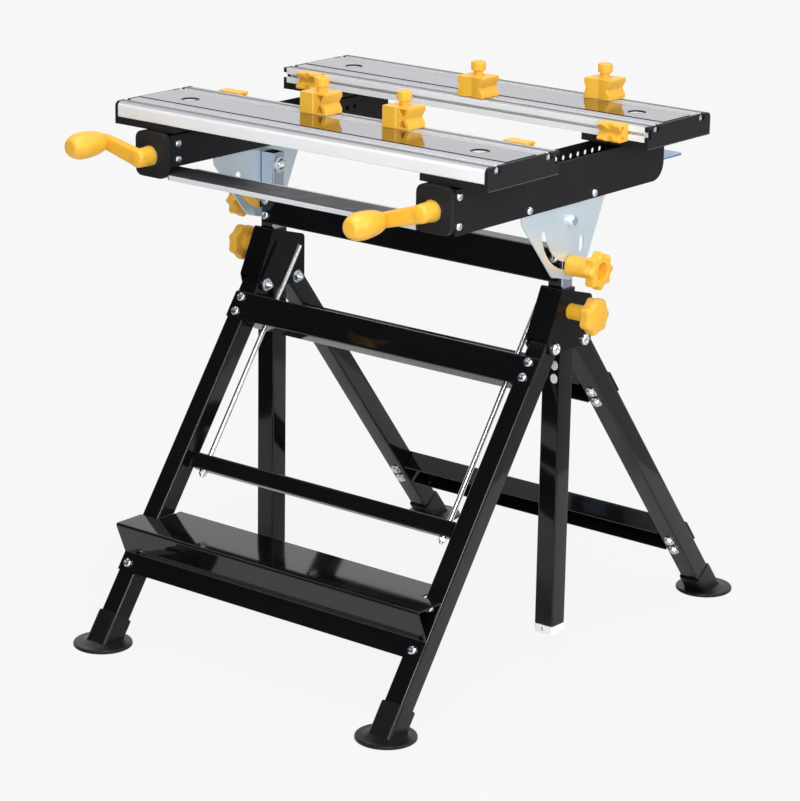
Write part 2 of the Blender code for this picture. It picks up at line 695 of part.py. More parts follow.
def build_column():
    column = joint("height_slide", (0.0, POST_Y, COLUMN_BAR_BOTTOM))
    for side, sign in SIDES:
        section = rounded(INNER_TUBE, INNER_TUBE, TUBE_CORNER - 0.5 * MM)
        bore = rounded(INNER_TUBE - 2 * INNER_WALL, INNER_TUBE - 2 * INNER_WALL, 1.0 * MM)
        post = piece("inner_post_" + side,
                     extrude(section, INNER_BOTTOM, INNER_TOP, along_z(sign * LEG_X, POST_Y), [bore]),
                     "zinc", column)
        cut(post, rod(PIN_RADIUS + PIN_CLEARANCE, LEG_X - TUBE, LEG_X + TUBE, along_x(sign, POST_Y, TILT_Z)),
            rod(STUD_RADIUS + PIN_CLEARANCE, LEG_X, LEG_X + TUBE,
                along_x(sign, POST_Y, TILT_Z - TILT_RADIUS)))
        build_knob("height_knob_" + side, sign, HEIGHT_KNOB_Z, HEIGHT_KNOB_FACE,
                   LEG_X + INNER_TUBE / 2 + SEAT, LEG_X + BRACKET_OUTER + SEAT)
        build_knob("tilt_knob_" + side, sign, TILT_Z - TILT_RADIUS, TILT_KNOB_FACE,
                   LEG_X + INNER_TUBE / 4, PLATE_X + PLATE + SEAT)
    height = COLUMN_BAR_TOP - COLUMN_BAR_BOTTOM
    middle = (COLUMN_BAR_TOP + COLUMN_BAR_BOTTOM) / 2
    seat = INNER_TUBE / 2 + SEAT
    section = [(POST_Y - seat - SHEET - p, middle + q) for p, q in channel(BAR_DEPTH - 4.0 * MM, height)]
    bar = piece("column_bar", extrude(section, -COLUMN_BAR_HALF, COLUMN_BAR_HALF, along_x()),
                "frame_paint", column)
    for _, sign in SIDES:
        cut(bar, block(sign * (LEG_X - INNER_TUBE / 2 - 2.0 * MM), sign * LEG_X * 1.2,
                       POST_Y - seat + SEAT / 2, POST_Y + TUBE,
                       COLUMN_BAR_BOTTOM - TUBE, COLUMN_BAR_TOP + TUBE))


def build_knob(name, sign, z, face, tip, seat):
    axis = joint(name + "_axis", (sign * face, POST_Y, z))
    steps = KNOB_LOBES * 5
    star = []
    for i in range(steps):
        angle = math.tau * i / steps
        radius = KNOB_RADIUS - KNOB_LOBE + KNOB_LOBE * math.cos(KNOB_LOBES * angle)
        star.append((radius * math.cos(angle), radius * math.sin(angle)))
    frame = along_x(sign, POST_Y, z)
    knob = piece(name, extrude(star, face - KNOB_DEPTH, face, frame), "yellow_plastic", axis)
    edge = knob.modifiers.new("edge", "BEVEL")
    edge.width = 2.4 * MM
    edge.segments = 1
    edge.limit_method = "ANGLE"
    edge.angle_limit = math.radians(60.0)
    back = face - KNOB_DEPTH / 2
    weld(knob, lathe([(0.0, tip), (STUD_RADIUS, tip), (STUD_RADIUS, seat), (KNOB_STEM, seat),
                      (KNOB_STEM + 2.0 * MM, back), (0.0, back)], frame))
    cut(knob, rod(KNOB_RECESS, face - KNOB_DEPTH * 0.4, face + KNOB_DEPTH, frame))


# Tilting top: plates, rails, housings and tie bar

def build_top():
    top = joint("top_tilt", (0.0, POST_Y, TILT_Z))
    for side, sign in SIDES:
        build_tilt_plate(side, sign, top)
        build_rail(side, sign, top)
        build_housing(side, sign, top)
    build_tie_bar(top)


def build_tie_bar(top):
    """Flat channel that runs under both rails to their outer walls, behind the housings."""
    middle = (TIE_BAR_FRONT + TIE_BAR_REAR) / 2
    section = [(middle + q, TIE_BAR_TOP + p) for p, q in channel(TIE_BAR_LIP, TIE_BAR_REAR - TIE_BAR_FRONT)]
    half = RAIL_X - PLATE - SEAT
    bar = piece("tie_bar", extrude(section, -half, half, along_x()), "zinc", top)
    cut(bar, *[block(sign * (RAIL_X - RAIL_WIDTH - SEAT), sign * (RAIL_X + RAIL_WIDTH), HOUSING_FRONT - RAIL_WIDTH,
                     HOUSING_REAR + SEAT, HOUSING_LOW - RAIL_WIDTH, HOUSING_TOP) for _, sign in SIDES])


def build_tilt_plate(side, sign, top):
    front_top, rear_top = (TILT_PLATE_FRONT, TILT_PLATE_TOP), (TILT_PLATE_REAR, TILT_PLATE_TOP)
    outline = fillet([front_top, *TILT_PLATE_CORNERS, rear_top], [0.0, *TILT_PLATE_ROUNDS, 0.0])
    slot = slot_arc(0.0, TILT_Z, TILT_RADIUS, STUD_RADIUS + SLOT_CLEARANCE,
                    math.radians(-3.0), TILT_SLOT_TRAVEL)
    oval = fillet(rectangle(*TILT_OVAL), [TILT_OVAL_ROUND] * 4)
    frame = along_x(sign, POST_Y)
    plate = piece("tilt_plate_" + side, extrude(outline, PLATE_X, PLATE_X + PLATE, frame, [slot, oval]),
                  "zinc", top)
    outer = PLATE_X + PLATE
    inner = LEG_X - INNER_TUBE / 2 - SEAT
    nut = PIN_HEAD_HEIGHT
    stud = [(0.0, inner - nut), (PIN_HEAD_RADIUS, inner - nut), (PIN_HEAD_RADIUS, inner),
            (PIN_RADIUS, inner), (PIN_RADIUS, outer - PLATE / 2), (PIN_HEAD_RADIUS, outer - PLATE / 2),
            (PIN_HEAD_RADIUS, outer + nut - 1.2 * MM), (PIN_HEAD_RADIUS - 1.2 * MM, outer + nut),
            (0.0, outer + nut)]
    weld(plate, lathe(stud, along_x(sign, POST_Y, TILT_Z)))


def build_rail(side, sign, top):
    outer, inner = RAIL_X, RAIL_X - RAIL_WIDTH
    section = [(outer, RAIL_LOW), (outer, RAIL_TOP), (outer - PLATE, RAIL_TOP), (outer - PLATE, RAIL_FLOOR),
               (inner + PLATE, RAIL_FLOOR), (inner + PLATE, RAIL_TOP), (inner, RAIL_TOP),
               (inner, RAIL_FLOOR - PLATE), (outer - PLATE, RAIL_FLOOR - PLATE), (outer - PLATE, RAIL_LOW)]
    rail = piece("rail_" + side, extrude(section, HOUSING_REAR + SEAT, RAIL_REAR, along_y(sign=sign)),
                 "rail_paint", top)
    middle_y, middle_z = RAIL_REAR - RAIL_CORNER, RAIL_LOW + RAIL_CORNER
    corner = arc(middle_y, middle_z, RAIL_CORNER, -math.pi / 2, 0.0, 8)
    corner += [(RAIL_REAR + RAIL_CORNER, middle_z), (RAIL_REAR + RAIL_CORNER, RAIL_LOW - RAIL_CORNER),
               (middle_y, RAIL_LOW - RAIL_CORNER)]
    cut(rail, extrude(corner, outer - 1.2 * PLATE, outer + 3 * PLATE, along_x(sign)))
    cut(rail, *[rod(RAIL_HOLE_RADIUS, inner - 3 * PLATE, inner + 3 * PLATE,
                    along_x(sign, RAIL_HOLE_LAST - index * RAIL_HOLE_PITCH, RAIL_HOLE_Z), 10)
                for index in range(RAIL_HOLES)])


def build_housing(side, sign, top):
    """Rounded block over the rail's front end, with a plug between the rail's walls."""
    width, height = RAIL_WIDTH, HOUSING_TOP - HOUSING_LOW
    middle = (HOUSING_TOP + HOUSING_LOW) / 2
    frame = along_y(sign * SPINDLE_X, middle)
    housing = piece("crank_housing_" + side,
                    extrude(rounded(width, height, HOUSING_CORNER, 4), HOUSING_FRONT, HOUSING_REAR, frame),
                    "black_plastic", top)
    edge = housing.modifiers.new("edge", "BEVEL")
    edge.width = HOUSING_EDGE
    edge.segments = 2
    edge.limit_method = "ANGLE"
    edge.angle_limit = math.radians(60.0)
    plug = RAIL_WIDTH / 2 - PLATE - SEAT
    weld(housing, block(sign * SPINDLE_X - plug, sign * SPINDLE_X + plug,
                        HOUSING_REAR - HOUSING_DEPTH / 2, HOUSING_REAR + HOUSING_PLUG,
                        RAIL_FLOOR + SEAT, RAIL_TOP - PLATE))
    cut(housing, rod(SPINDLE_RADIUS + PIN_CLEARANCE, HOUSING_FRONT - TUBE, HOUSING_REAR + HOUSING_PLUG + TUBE,
                     along_y(sign * SPINDLE_X, SPINDLE_Z)))


# Spindles and cranks

def build_cranks():
    collar_back = HOUSING_FRONT - SEAT
    collar_front = collar_back - WASHER
    shank = SPINDLE_RADIUS - 1.0 * MM
    nose = CRANK_PLANE + 6.0 * MM
    for side, sign in SIDES:
        axis = joint("crank_axis_" + side, (sign * SPINDLE_X, HOUSING_FRONT, SPINDLE_Z))
        frame = along_y(sign * SPINDLE_X, SPINDLE_Z)
        profile = [(0.0, nose), (shank, nose), (shank, collar_front), (WASHER_RADIUS, collar_front),
                   (WASHER_RADIUS, collar_back), (SPINDLE_RADIUS, collar_back),
                   (SPINDLE_RADIUS, SPINDLE_END - 2.0 * MM), (SPINDLE_RADIUS - 2.0 * MM, SPINDLE_END),
                   (0.0, SPINDLE_END)]
        piece("spindle_" + side, lathe(profile, frame), "zinc", axis)
        build_crank(side, axis, frame, collar_front - SEAT, shank + PIN_CLEARANCE, nose - SEAT)


def build_crank(side, axis, frame, base, bore, bore_end):
    turn = CRANK_TURN[side]
    reach_x, reach_z = CRANK_ARM * math.cos(turn), CRANK_ARM * math.sin(turn)
    front = CRANK_PLANE - CRANK_THICKNESS / 2
    nose = 2.5 * MM
    hub = [(0.0, base), (HUB_RADIUS, base), (HUB_RADIUS - nose / 2, CRANK_PLANE),
           (HUB_RADIUS - nose, front), (HUB_RADIUS - 2 * nose, front - nose), (0.0, front - nose)]
    crank = piece("crank_" + side, lathe(hub, frame, 18), "yellow_plastic", axis)
    lean = math.asin((ARM_HUB_ROUND - ARM_TIP_ROUND) / CRANK_ARM)
    outline = arc(0.0, 0.0, ARM_HUB_ROUND, turn + math.pi / 2 - lean, turn + 1.5 * math.pi + lean, 10)
    outline += arc(reach_x, reach_z, ARM_TIP_ROUND, turn - math.pi / 2 + lean, turn + math.pi / 2 - lean, 10)
    weld(crank, extrude(outline, front, front + CRANK_THICKNESS, frame))
    grip_frame = along_y(axis.location.x + reach_x, SPINDLE_Z + reach_z)
    length = front - CRANK_TIP
    grip = [(0.0, front + CRANK_THICKNESS / 2), (GRIP_RADIUS * GRIP_SHAPE[0][1], front + CRANK_THICKNESS / 2)]
    grip += [(GRIP_RADIUS * radius, front - length * along) for along, radius in GRIP_SHAPE]
    weld(crank, lathe(grip, grip_frame))
    cut(crank, rod(bore, bore_end, base + TUBE, frame))


# Jaws, end caps, latch levers and dogs

def jaw_frame(name):
    """p from the jaw's inner edge outward, q up, h along X."""
    facing = -1 if name == "front" else 1
    inner = FRONT_JAW_INNER if name == "front" else REAR_JAW_INNER
    return lambda p, q, h: Vector((h, inner + facing * p, q))


def top_slot(at, above=0.0):
    """Keyhole slot in the jaw's top, as points from its left lip to its right lip."""
    mouth, room = SLOT_MOUTH / 2, SLOT_WIDTH / 2
    lip, floor = JAW_TOP - JAW_SKIN, JAW_TOP - SLOT_DEPTH
    return [(at - mouth, JAW_TOP + above), (at - mouth, lip), (at - room, lip), (at - room, floor),
            (at + room, floor), (at + room, lip), (at + mouth, lip), (at + mouth, JAW_TOP + above)]


def face_slot(beyond=0.0):
    """T-slot in the jaw's inner face, as points from its lower lip to its upper lip."""
    middle = (JAW_BOTTOM + JAW_TOP) / 2
    mouth, room = SLOT_MOUTH / 2, SLOT_WIDTH / 2
    return [(-beyond, middle - mouth), (JAW_SKIN, middle - mouth), (JAW_SKIN, middle - room),
            (FACE_SLOT_DEPTH, middle - room), (FACE_SLOT_DEPTH, middle + room),
            (JAW_SKIN, middle + room), (JAW_SKIN, middle + mouth), (-beyond, middle + mouth)]


def jaw_section():
    """Extruded profile with a slot in the inner face and one near each edge of the top."""
    edge = 1.0 * MM
    points = [(0.0, JAW_BOTTOM)] + face_slot() + [(0.0, JAW_TOP - edge), (edge, JAW_TOP)]
    points += top_slot(SLOT_INSET) + top_slot(JAW_WIDTH - SLOT_INSET)
    points += arc(JAW_WIDTH - JAW_ROUND, JAW_TOP - JAW_ROUND, JAW_ROUND, math.pi / 2, 0.0, 5)
    points.append((JAW_WIDTH, JAW_BOTTOM))
    return points


def jaw_chambers():
    first, last = SLOT_INSET + SLOT_WIDTH / 2 + JAW_SKIN, JAW_WIDTH - SLOT_INSET - SLOT_WIDTH / 2 - JAW_SKIN
    pitch = (last - first + JAW_SKIN) / 3
    low, high = JAW_BOTTOM + JAW_SKIN, JAW_TOP - JAW_SKIN
    return [rectangle(first + i * pitch, low, first + (i + 1) * pitch - JAW_SKIN, high) for i in range(3)]


def build_jaw(name):
    frame = jaw_frame(name)
    centre = frame(JAW_WIDTH / 2, 0.0, 0.0).y
    slide = joint(name + "_jaw_slide", (0.0, centre, JAW_BOTTOM))
    length = CAP_X - SEAT
    jaw = piece(name + "_jaw", extrude(jaw_section(), -length, length, frame, jaw_chambers()),
                "aluminium", slide)
    cut(jaw, *[rod(DOG_HOLE_RADIUS, JAW_BOTTOM - TUBE, JAW_TOP + TUBE,
                   along_z(sign * DOG_HOLE_X, centre), 24) for _, sign in SIDES])
    for side, sign in SIDES:
        build_cap(name, side, sign, centre, slide)
    return slide


def build_cap(name, side, sign, centre, slide):
    frame = jaw_frame(name)
    wall = [(0.0, CAP_BOTTOM), (0.0, JAW_TOP)]
    wall += arc(JAW_WIDTH - JAW_ROUND, JAW_TOP - JAW_ROUND, JAW_ROUND, math.pi / 2, 0.0, 5)
    wall.append((JAW_WIDTH, CAP_BOTTOM))
    cap = piece(name + "_cap_" + side, extrude(wall, sign * CAP_X, sign * JAW_HALF, frame),
                "black_plastic", slide)
    tongue_top = JAW_BOTTOM - SEAT
    tongue = rectangle(0.0, CAP_BOTTOM + 0.2 * MM, JAW_WIDTH, tongue_top)
    weld(cap, extrude(tongue, sign * CAP_TONGUE_X, sign * (CAP_X + CAP_WALL / 2), frame))
    outer, inner = RAIL_X - PLATE - SEAT, RAIL_X - RAIL_WIDTH + PLATE + SEAT
    shoe_top = (CAP_BOTTOM + tongue_top) / 2
    weld(cap, block(sign * inner, sign * outer, centre - SHOE_HALF, centre + SHOE_HALF,
                    RAIL_FLOOR + SEAT, shoe_top))
    overhang = 1.0 * MM
    weld(cap, block(sign * (inner - PLATE - overhang), sign * (outer + PLATE + overhang),
                    centre - SHOE_HALF - overhang, centre + SHOE_HALF + overhang,
                    RAIL_TOP + SEAT, shoe_top + 0.5 * MM))
    cut(cap, rod(SPINDLE_RADIUS + PIN_CLEARANCE, centre - JAW_WIDTH, centre + JAW_WIDTH,
                 along_y(sign * SPINDLE_X, SPINDLE_Z)))
    cut(cap, rod(DOG_HOLE_RADIUS, DOG_HOLE_FLOOR, JAW_TOP, along_z(sign * DOG_HOLE_X, centre), 24))
    mouths = (face_slot(CAP_WALL), top_slot(SLOT_INSET, CAP_WALL), top_slot(JAW_WIDTH - SLOT_INSET, CAP_WALL))
    inside, outside = CAP_X - SEAT, JAW_HALF + CAP_WALL
    cut(cap, *[extrude(mouth, sign * inside, sign * outside, frame) for mouth in mouths])


def build_lever(side, sign, slide):
    """Flat blade on a cross pin behind the rear jaw's shoe, between the rail's walls."""
    pin_y = slide.location.y + SHOE_HALF + LEVER_PIN_RADIUS + SEAT
    axis = joint("latch_axis_" + side, (sign * SPINDLE_X, pin_y, LEVER_PIN_Z))
    half = LEVER_WIDTH / 2
    plan = fillet([(-half, 0.0), (half, 0.0), (half, LEVER_REACH), (-half, LEVER_REACH)],
                  [0.0, 0.0, LEVER_CORNER, LEVER_CORNER])
    lever = piece("latch_lever_" + side,
                  extrude(plan, LEVER_PIN_Z - LEVER_SHEET / 2, LEVER_PIN_Z + LEVER_SHEET / 2,
                          along_z(sign * SPINDLE_X, pin_y)), "lever_zinc", axis)
    reach = RAIL_WIDTH / 2 - PLATE - SEAT
    weld(lever, rod(LEVER_PIN_RADIUS, SPINDLE_X - reach, SPINDLE_X + reach,
                    along_x(sign, pin_y, LEVER_PIN_Z)))


def dog_key(inner_width):
    """Tail of a dog below its block: a narrow neck through the slot's mouth and a wide foot."""
    neck = SLOT_MOUTH / 2 - SEAT
    foot = SLOT_WIDTH / 2 - SEAT
    return [(-neck, 0.5 * MM), (-neck, -JAW_SKIN - SEAT), (-foot, -JAW_SKIN - SEAT),
            (-foot, -inner_width + SEAT), (foot, -inner_width + SEAT), (foot, -JAW_SKIN - SEAT),
            (neck, -JAW_SKIN - SEAT), (neck, 0.5 * MM)]


def dog_plan():
    """Rectangle with a shallow V groove down its front and back faces."""
    half, back = DOG_LENGTH / 2, DOG_DEPTH / 2
    points = [(-half, -back), (-DOG_FACE_OPENING, -back), (0.0, DOG_FACE_GROOVE - back),
              (DOG_FACE_OPENING, -back), (half, -back), (half, back), (DOG_FACE_OPENING, back),
              (0.0, back - DOG_FACE_GROOVE), (-DOG_FACE_OPENING, back), (-half, back)]
    corners = [DOG_CORNER, 0.0, 0.0, 0.0, DOG_CORNER]
    return fillet(points, corners * 2, 2)


def build_upright_dog(name, jaw, slot, x):
    inset = SLOT_INSET if slot == 0 else JAW_WIDTH - SLOT_INSET
    y = jaw_frame(jaw)(inset, 0.0, 0.0).y
    axis = joint(name + "_slide", (x, y, JAW_TOP))
    base = JAW_TOP + SEAT
    top = base + DOG_HEIGHT
    dog = piece(name, extrude(dog_plan(), base, top, along_z(x, y)), "yellow_plastic", axis)
    middle = (base + top) / 2
    end, valley = DOG_LENGTH / 2, DOG_LENGTH / 2 - DOG_END_GROOVE
    groove = [(end + DOG_END_GROOVE, -2 * DOG_END_OPENING), (valley, 0.0),
              (end + DOG_END_GROOVE, 2 * DOG_END_OPENING)]
    cut(dog, *[extrude(groove, y - DOG_DEPTH, y + DOG_DEPTH, along_y(x, middle, sign)) for _, sign in SIDES])
    key_half = DOG_LENGTH / 2 - DOG_CORNER
    weld(dog, extrude(dog_key(SLOT_DEPTH), -key_half, key_half,
                      lambda p, q, h: Vector((x + h, y + p, base + q))))
    neck_top = top + DOG_KNOB_HEIGHT * 0.35
    knob_top = top + DOG_KNOB_HEIGHT
    edge = 2.0 * MM
    weld(dog, lathe([(0.0, top - edge), (DOG_NECK, top - edge), (DOG_NECK, neck_top), (DOG_KNOB, neck_top),
                     (DOG_KNOB, knob_top - edge), (DOG_KNOB - edge, knob_top), (0.0, knob_top)],
                    along_z(x, y)))


def build_side_dog(name, jaw, x):
    facing = -1 if jaw == "front" else 1
    inner = jaw_frame(jaw)(0.0, 0.0, 0.0).y
    z = (JAW_BOTTOM + JAW_TOP) / 2
    axis = joint(name + "_slide", (x, inner, z))
    base = inner - facing * SEAT
    half = SIDE_DOG_HEIGHT / 2
    valley = 6.0 * MM
    section = fillet([(0.0, -half), (SIDE_DOG_DEPTH, -half), (SIDE_DOG_DEPTH, -valley),
                      (SIDE_DOG_DEPTH - valley, 0.0), (SIDE_DOG_DEPTH, valley), (SIDE_DOG_DEPTH, half),
                      (0.0, half)], [0.0, 2.0 * MM, 1.0 * MM, 0.0, 1.0 * MM, 2.0 * MM, 0.0], 2)
    low, high = x - SIDE_DOG_LENGTH / 2, x + SIDE_DOG_LENGTH / 2
    dog = piece(name, extrude(section, low, high, lambda p, q, h: Vector((h, base - facing * p, z + q))),
                "yellow_plastic", axis)
    key_half = SIDE_DOG_LENGTH / 2 - 3.0 * MM
    weld(dog, extrude(dog_key(FACE_SLOT_DEPTH), -key_half, key_half,
                      lambda p, q, h: Vector((x + h, base - facing * q, z + p))))


def build_jaws():
    slides = {name: build_jaw(name) for name in ("front", "rear")}
    for side, sign in SIDES:
        build_lever(side, sign, slides["rear"])
    for name, jaw, slot, x in UPRIGHT_DOGS:
        build_upright_dog(name, jaw, slot, x)
    for name, jaw, sign, from_end in SIDE_DOGS:
        build_side_dog(name, jaw, sign * (JAW_HALF - from_end))


clear_scene()
build_stand()
build_legs()
build_column()
build_top()
build_cranks()
build_jaws()
bpy.context.view_layer.update()
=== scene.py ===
"""Looks of the folding workbench: finishes, finer plastic pieces, fasteners, light and camera.

Lengths are in millimetres until a mesh is made. X runs along the jaws, -Y is the side of the
cranks and the step plate, Z is up, and the origin lies on the floor midway between the feet.
"""

import math

import bmesh
import bpy
from mathutils import Matrix, Vector


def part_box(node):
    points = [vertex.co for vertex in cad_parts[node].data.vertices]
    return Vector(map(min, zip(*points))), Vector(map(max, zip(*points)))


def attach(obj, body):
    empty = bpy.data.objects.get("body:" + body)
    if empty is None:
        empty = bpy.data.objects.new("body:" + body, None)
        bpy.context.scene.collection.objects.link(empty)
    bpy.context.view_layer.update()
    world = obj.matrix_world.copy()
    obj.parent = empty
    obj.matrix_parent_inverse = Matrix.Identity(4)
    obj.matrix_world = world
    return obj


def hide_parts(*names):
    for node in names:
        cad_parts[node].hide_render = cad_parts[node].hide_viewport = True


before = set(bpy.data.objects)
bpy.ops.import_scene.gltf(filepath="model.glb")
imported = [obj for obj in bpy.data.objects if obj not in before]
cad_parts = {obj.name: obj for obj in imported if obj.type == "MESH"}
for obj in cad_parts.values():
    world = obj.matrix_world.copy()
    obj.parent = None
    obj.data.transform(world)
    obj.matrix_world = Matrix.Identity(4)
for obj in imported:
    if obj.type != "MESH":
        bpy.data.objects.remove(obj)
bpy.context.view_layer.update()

MM = 0.001
SIDES = (("l", -1), ("r", 1))

# Stand and legs
LEG_X = 209.0
POST_Y = -14.0
TUBE = 25.0
PIVOT_Z = 377.5
PIVOT_SPREAD = 27.5
FOOT_Y = 306.6
BRACKET_OUTER = 14.8
WEB_FACE = 14.6
INNER_POST_FACE = 10.3
POST_HOLES = (353.5, 338.5)
POST_HOLE_SHIFT = 4.5
PLUG_RIVET_Z = 42.8
FRONT_BAR_AT = 35.0
REAR_BARS_AT = (91.0, 373.0)
BAR_SCREW_SPREAD = 9.0
FOOT_RADIUS = 34.0
FOOT_SLEEVE = 30.0
FOOT_SLEEVE_TOP = 37.0
FOOT_SLEEVE_BASE = 2.5
LIP_SCREW_Z = 87.0
TAB_SCREW_Z = 127.0

# Fasteners: a radius, then a height, then the washer's share of the radius
BAR_SCREW = 5.4
BAR_RIVET = (4.6, 1.8)
BAR_NUT = (4.6, 3.0)
PIVOT_SHANK = 3.9
PIVOT_NUT = (5.2, 3.6)
PLUG_RIVET = (2.4, 1.0)
COLUMN_SCREW = 5.0
RAIL_BOLT = (4.4, 3.0)
RAIL_NUT = (4.2, 3.4)
HOUSING_SCREW = (4.4, 2.6)
TILT_BOLT = (5.2, 4.6, 1.25)
TILT_NUT = (6.4, 4.2)
ROD_NUT = (4.0, 3.8, 1.3)

# Release bar
ROD_X = 176.0
ROD_RADIUS = 3.0
ROD_SETBACK = 6.0
ROD_HEAD = 58.0
RELEASE_AT = 223.0
RELEASE_HALF = 189.0
RELEASE_SECTION = 15.0
RELEASE_HEIGHT = 18.5
RELEASE_SETBACK = 3.0

# Column, tilting top and star knobs
COLUMN_BAR_FACE = -26.1
COLUMN_SCREWS = (474.0, 456.0)
TILT_Z = 516.5
TILT_KNOB_Z = 466.5
HEIGHT_KNOB_Z = 415.0
TILT_KNOB_FACE = 265.0
HEIGHT_KNOB_FACE = 264.0
PLATE_INNER = 219.3
PLATE_OUTER = 220.8
RAIL_OUTER = 222.6
RAIL_INNER = 177.0
TIE_BAR_FRONT = -228.0
TIE_BAR_TOP = 541.5
TIE_BAR_HALF = 175.0
RAIL_BOLTS = ((-94.0, 541.0), (25.4, 541.0))
KNOB_RADIUS = 21.5
STAR_POINTS = 168
HEIGHT_KNOB_LOBES = 7
TILT_KNOB_LOBES = 8
STUD_RADIUS = 3.5
STUD_WASHER = 9.5
TILT_STUD_END = 214.0
HEIGHT_STUD_END = 219.5

# Spindles, housings and cranks
SPINDLE_X = 199.8
SPINDLE_Z = 560.5
SPINDLE_RADIUS = 6.0
SPINDLE_PITCH = 4.0
SPINDLE_CORE = 5.1
SPINDLE_JOURNAL = 4.8
WASHER_RADIUS = 12.0
WASHER_FRONT = -233.2
WASHER_BACK = -231.7
THREAD_START = -203.0
SPINDLE_END = 30.0
CRANK_ARM = 52.0
CRANK_PLANE = -250.0
CRANK_TIP = -307.0
GRIP_RADIUS = 15.2
CRANK_TURN = {"l": math.radians(166.0), "r": math.radians(196.0)}
OUTER_HOUSING_SCREWS = ((-217.0, 576.5), (-217.0, 545.0))
INNER_HOUSING_SCREWS = ((-211.0, 574.5), (-211.0, 556.5))

# Jaws
JAW_TOP = 612.6
JAW_BOTTOM = 595.2
CAP_BOTTOM = 587.0
JAW_WIDTH = 124.0
JAW_LENGTH = 258.0
JAW_SKIN = 2.2
JAW_ROUND = 6.0
JAW_EDGE = 1.2
JAW_CHAMFER = 0.8
JAW_INNER = {"front": -97.9, "rear": 66.5}
JAW_FACING = {"front": -1, "rear": 1}
SLOT_INSET = 17.0
SLOT_MOUTH = 6.0
SLOT_WIDTH = 11.0
SLOT_DEPTH = 8.0
FACE_SLOT_DEPTH = 7.0
FACE_SLOT_MOUTH = 3.2
PANEL_EDGE = 36.0
PANEL_GAP = 0.6
PANEL_DEPTH = 0.7
PANEL_RISE = 0.8
# Width of the near-black strips at the panels' edges: painted shadow of the gap round each panel
GAP_SHADE_WIDTH = 0.4
STRIP_RISE = 0.05
EDGE_GROOVE = 4.5
TOP_GROOVES = (22.5, 28.5)
# Dark strips along both long edges of a jaw's top: painted shade of a groove there
EDGE_SHADE_BAND = (5.6, 13.7)
DOG_HOLE_X = 205.0
DOG_HOLE_RADIUS = 10.0
# Depth of the black ring at the top of each dog hole: painted shadow on the hole's far wall
SHADE_RING_DEPTH = 1.6

# Dogs
DOG_LENGTH = 36.0
DOG_DEPTH = 32.0
DOG_HEIGHT = 24.0
DOG_STEP = 18.0
DOG_GROOVE_HALF = 7.5
DEEP_GROOVE = 4.2
SHALLOW_GROOVE = 2.4
DOG_FLUTES = 18
SIDE_DOG_LENGTH = 30.0
SIDE_DOG_HEIGHT = 20.0
SIDE_DOG_DEPTH = 18.0
SEAT = 0.3

FRONT_LEG_ANGLE = math.atan2(FOOT_Y + POST_Y - PIVOT_SPREAD, PIVOT_Z)
REAR_LEG_ANGLE = math.atan2(FOOT_Y - POST_Y - PIVOT_SPREAD, PIVOT_Z)


# Finishes

def new_finish(name):
    surface = bpy.data.materials.new(name)
    surface.use_nodes = True
    tree = surface.node_tree
    shader = tree.nodes["Principled BSDF"]
    return surface, tree, shader


def noise(tree, scale, stretch=(1.0, 1.0, 1.0), detail=3.0):
    """Noise in the object's own space, stretched along its axes."""
    place = tree.nodes.new("ShaderNodeTexCoord")
    mapping = tree.nodes.new("ShaderNodeMapping")
    mapping.inputs["Scale"].default_value = stretch
    tree.links.new(place.outputs["Object"], mapping.inputs["Vector"])
    texture = tree.nodes.new("ShaderNodeTexNoise")
    texture.inputs["Scale"].default_value = scale
    texture.inputs["Detail"].default_value = detail
    tree.links.new(mapping.outputs["Vector"], texture.inputs["Vector"])
    return texture.outputs["Fac"]


def ramp(tree, value, low, high):
    """Colour that runs between two others as the value runs from 0.3 to 0.7."""
    node = tree.nodes.new("ShaderNodeValToRGB")
    node.color_ramp.elements[0].position = 0.3
    node.color_ramp.elements[1].position = 0.7
    node.color_ramp.elements[0].color = (*low, 1.0)
    node.color_ramp.elements[1].color = (*high, 1.0)
    tree.links.new(value, node.inputs["Fac"])
    return node.outputs["Color"]


def remap(tree, value, low, high):
    node = tree.nodes.new("ShaderNodeMapRange")
    node.inputs["From Min"].default_value = 0.3
    node.inputs["From Max"].default_value = 0.7
    node.inputs["To Min"].default_value = low
    node.inputs["To Max"].default_value = high
    tree.links.new(value, node.inputs["Value"])
    return node.outputs["Result"]


def relief(tree, shader, value, strength, distance):
    node = tree.nodes.new("ShaderNodeBump")
    node.inputs["Strength"].default_value = strength
    node.inputs["Distance"].default_value = distance
    tree.links.new(value, node.inputs["Height"])
    tree.links.new(node.outputs["Normal"], shader.inputs["Normal"])


def coated(name, low, high, rough, grain, bump, gloss):
    """Paint, plastic or rubber: a colour and a roughness that wander a little, over a fine grain."""
    surface, tree, shader = new_finish(name)
    broad = noise(tree, 14.0)
    fine = noise(tree, grain, detail=2.0)
    tree.links.new(ramp(tree, broad, low, high), shader.inputs["Base Color"])
    tree.links.new(remap(tree, broad, *rough), shader.inputs["Roughness"])
    shader.inputs["Specular IOR Level"].default_value = gloss
    relief(tree, shader, fine, bump, 0.0002)
    return surface


def painted_top_shade(tree, colour, shaded_top):
    """Painted shade: colour that gives way to another on the faces that look up in the object's own space;
    on the jaws the other is darker, for the dark studio that they reflect.
    """
    place = tree.nodes.new("ShaderNodeTexCoord")
    split = tree.nodes.new("ShaderNodeSeparateXYZ")
    tree.links.new(place.outputs["Normal"], split.inputs["Vector"])
    share = tree.nodes.new("ShaderNodeMapRange")
    share.inputs["From Min"].default_value = 0.50
    share.inputs["From Max"].default_value = 0.80
    tree.links.new(split.outputs["Z"], share.inputs["Value"])
    mix = tree.nodes.new("ShaderNodeMix")
    mix.data_type = "RGBA"
    mix.inputs["B"].default_value = (*shaded_top, 1.0)
    tree.links.new(share.outputs["Result"], mix.inputs["Factor"])
    tree.links.new(colour, mix.inputs["A"])
    return mix.outputs["Result"]


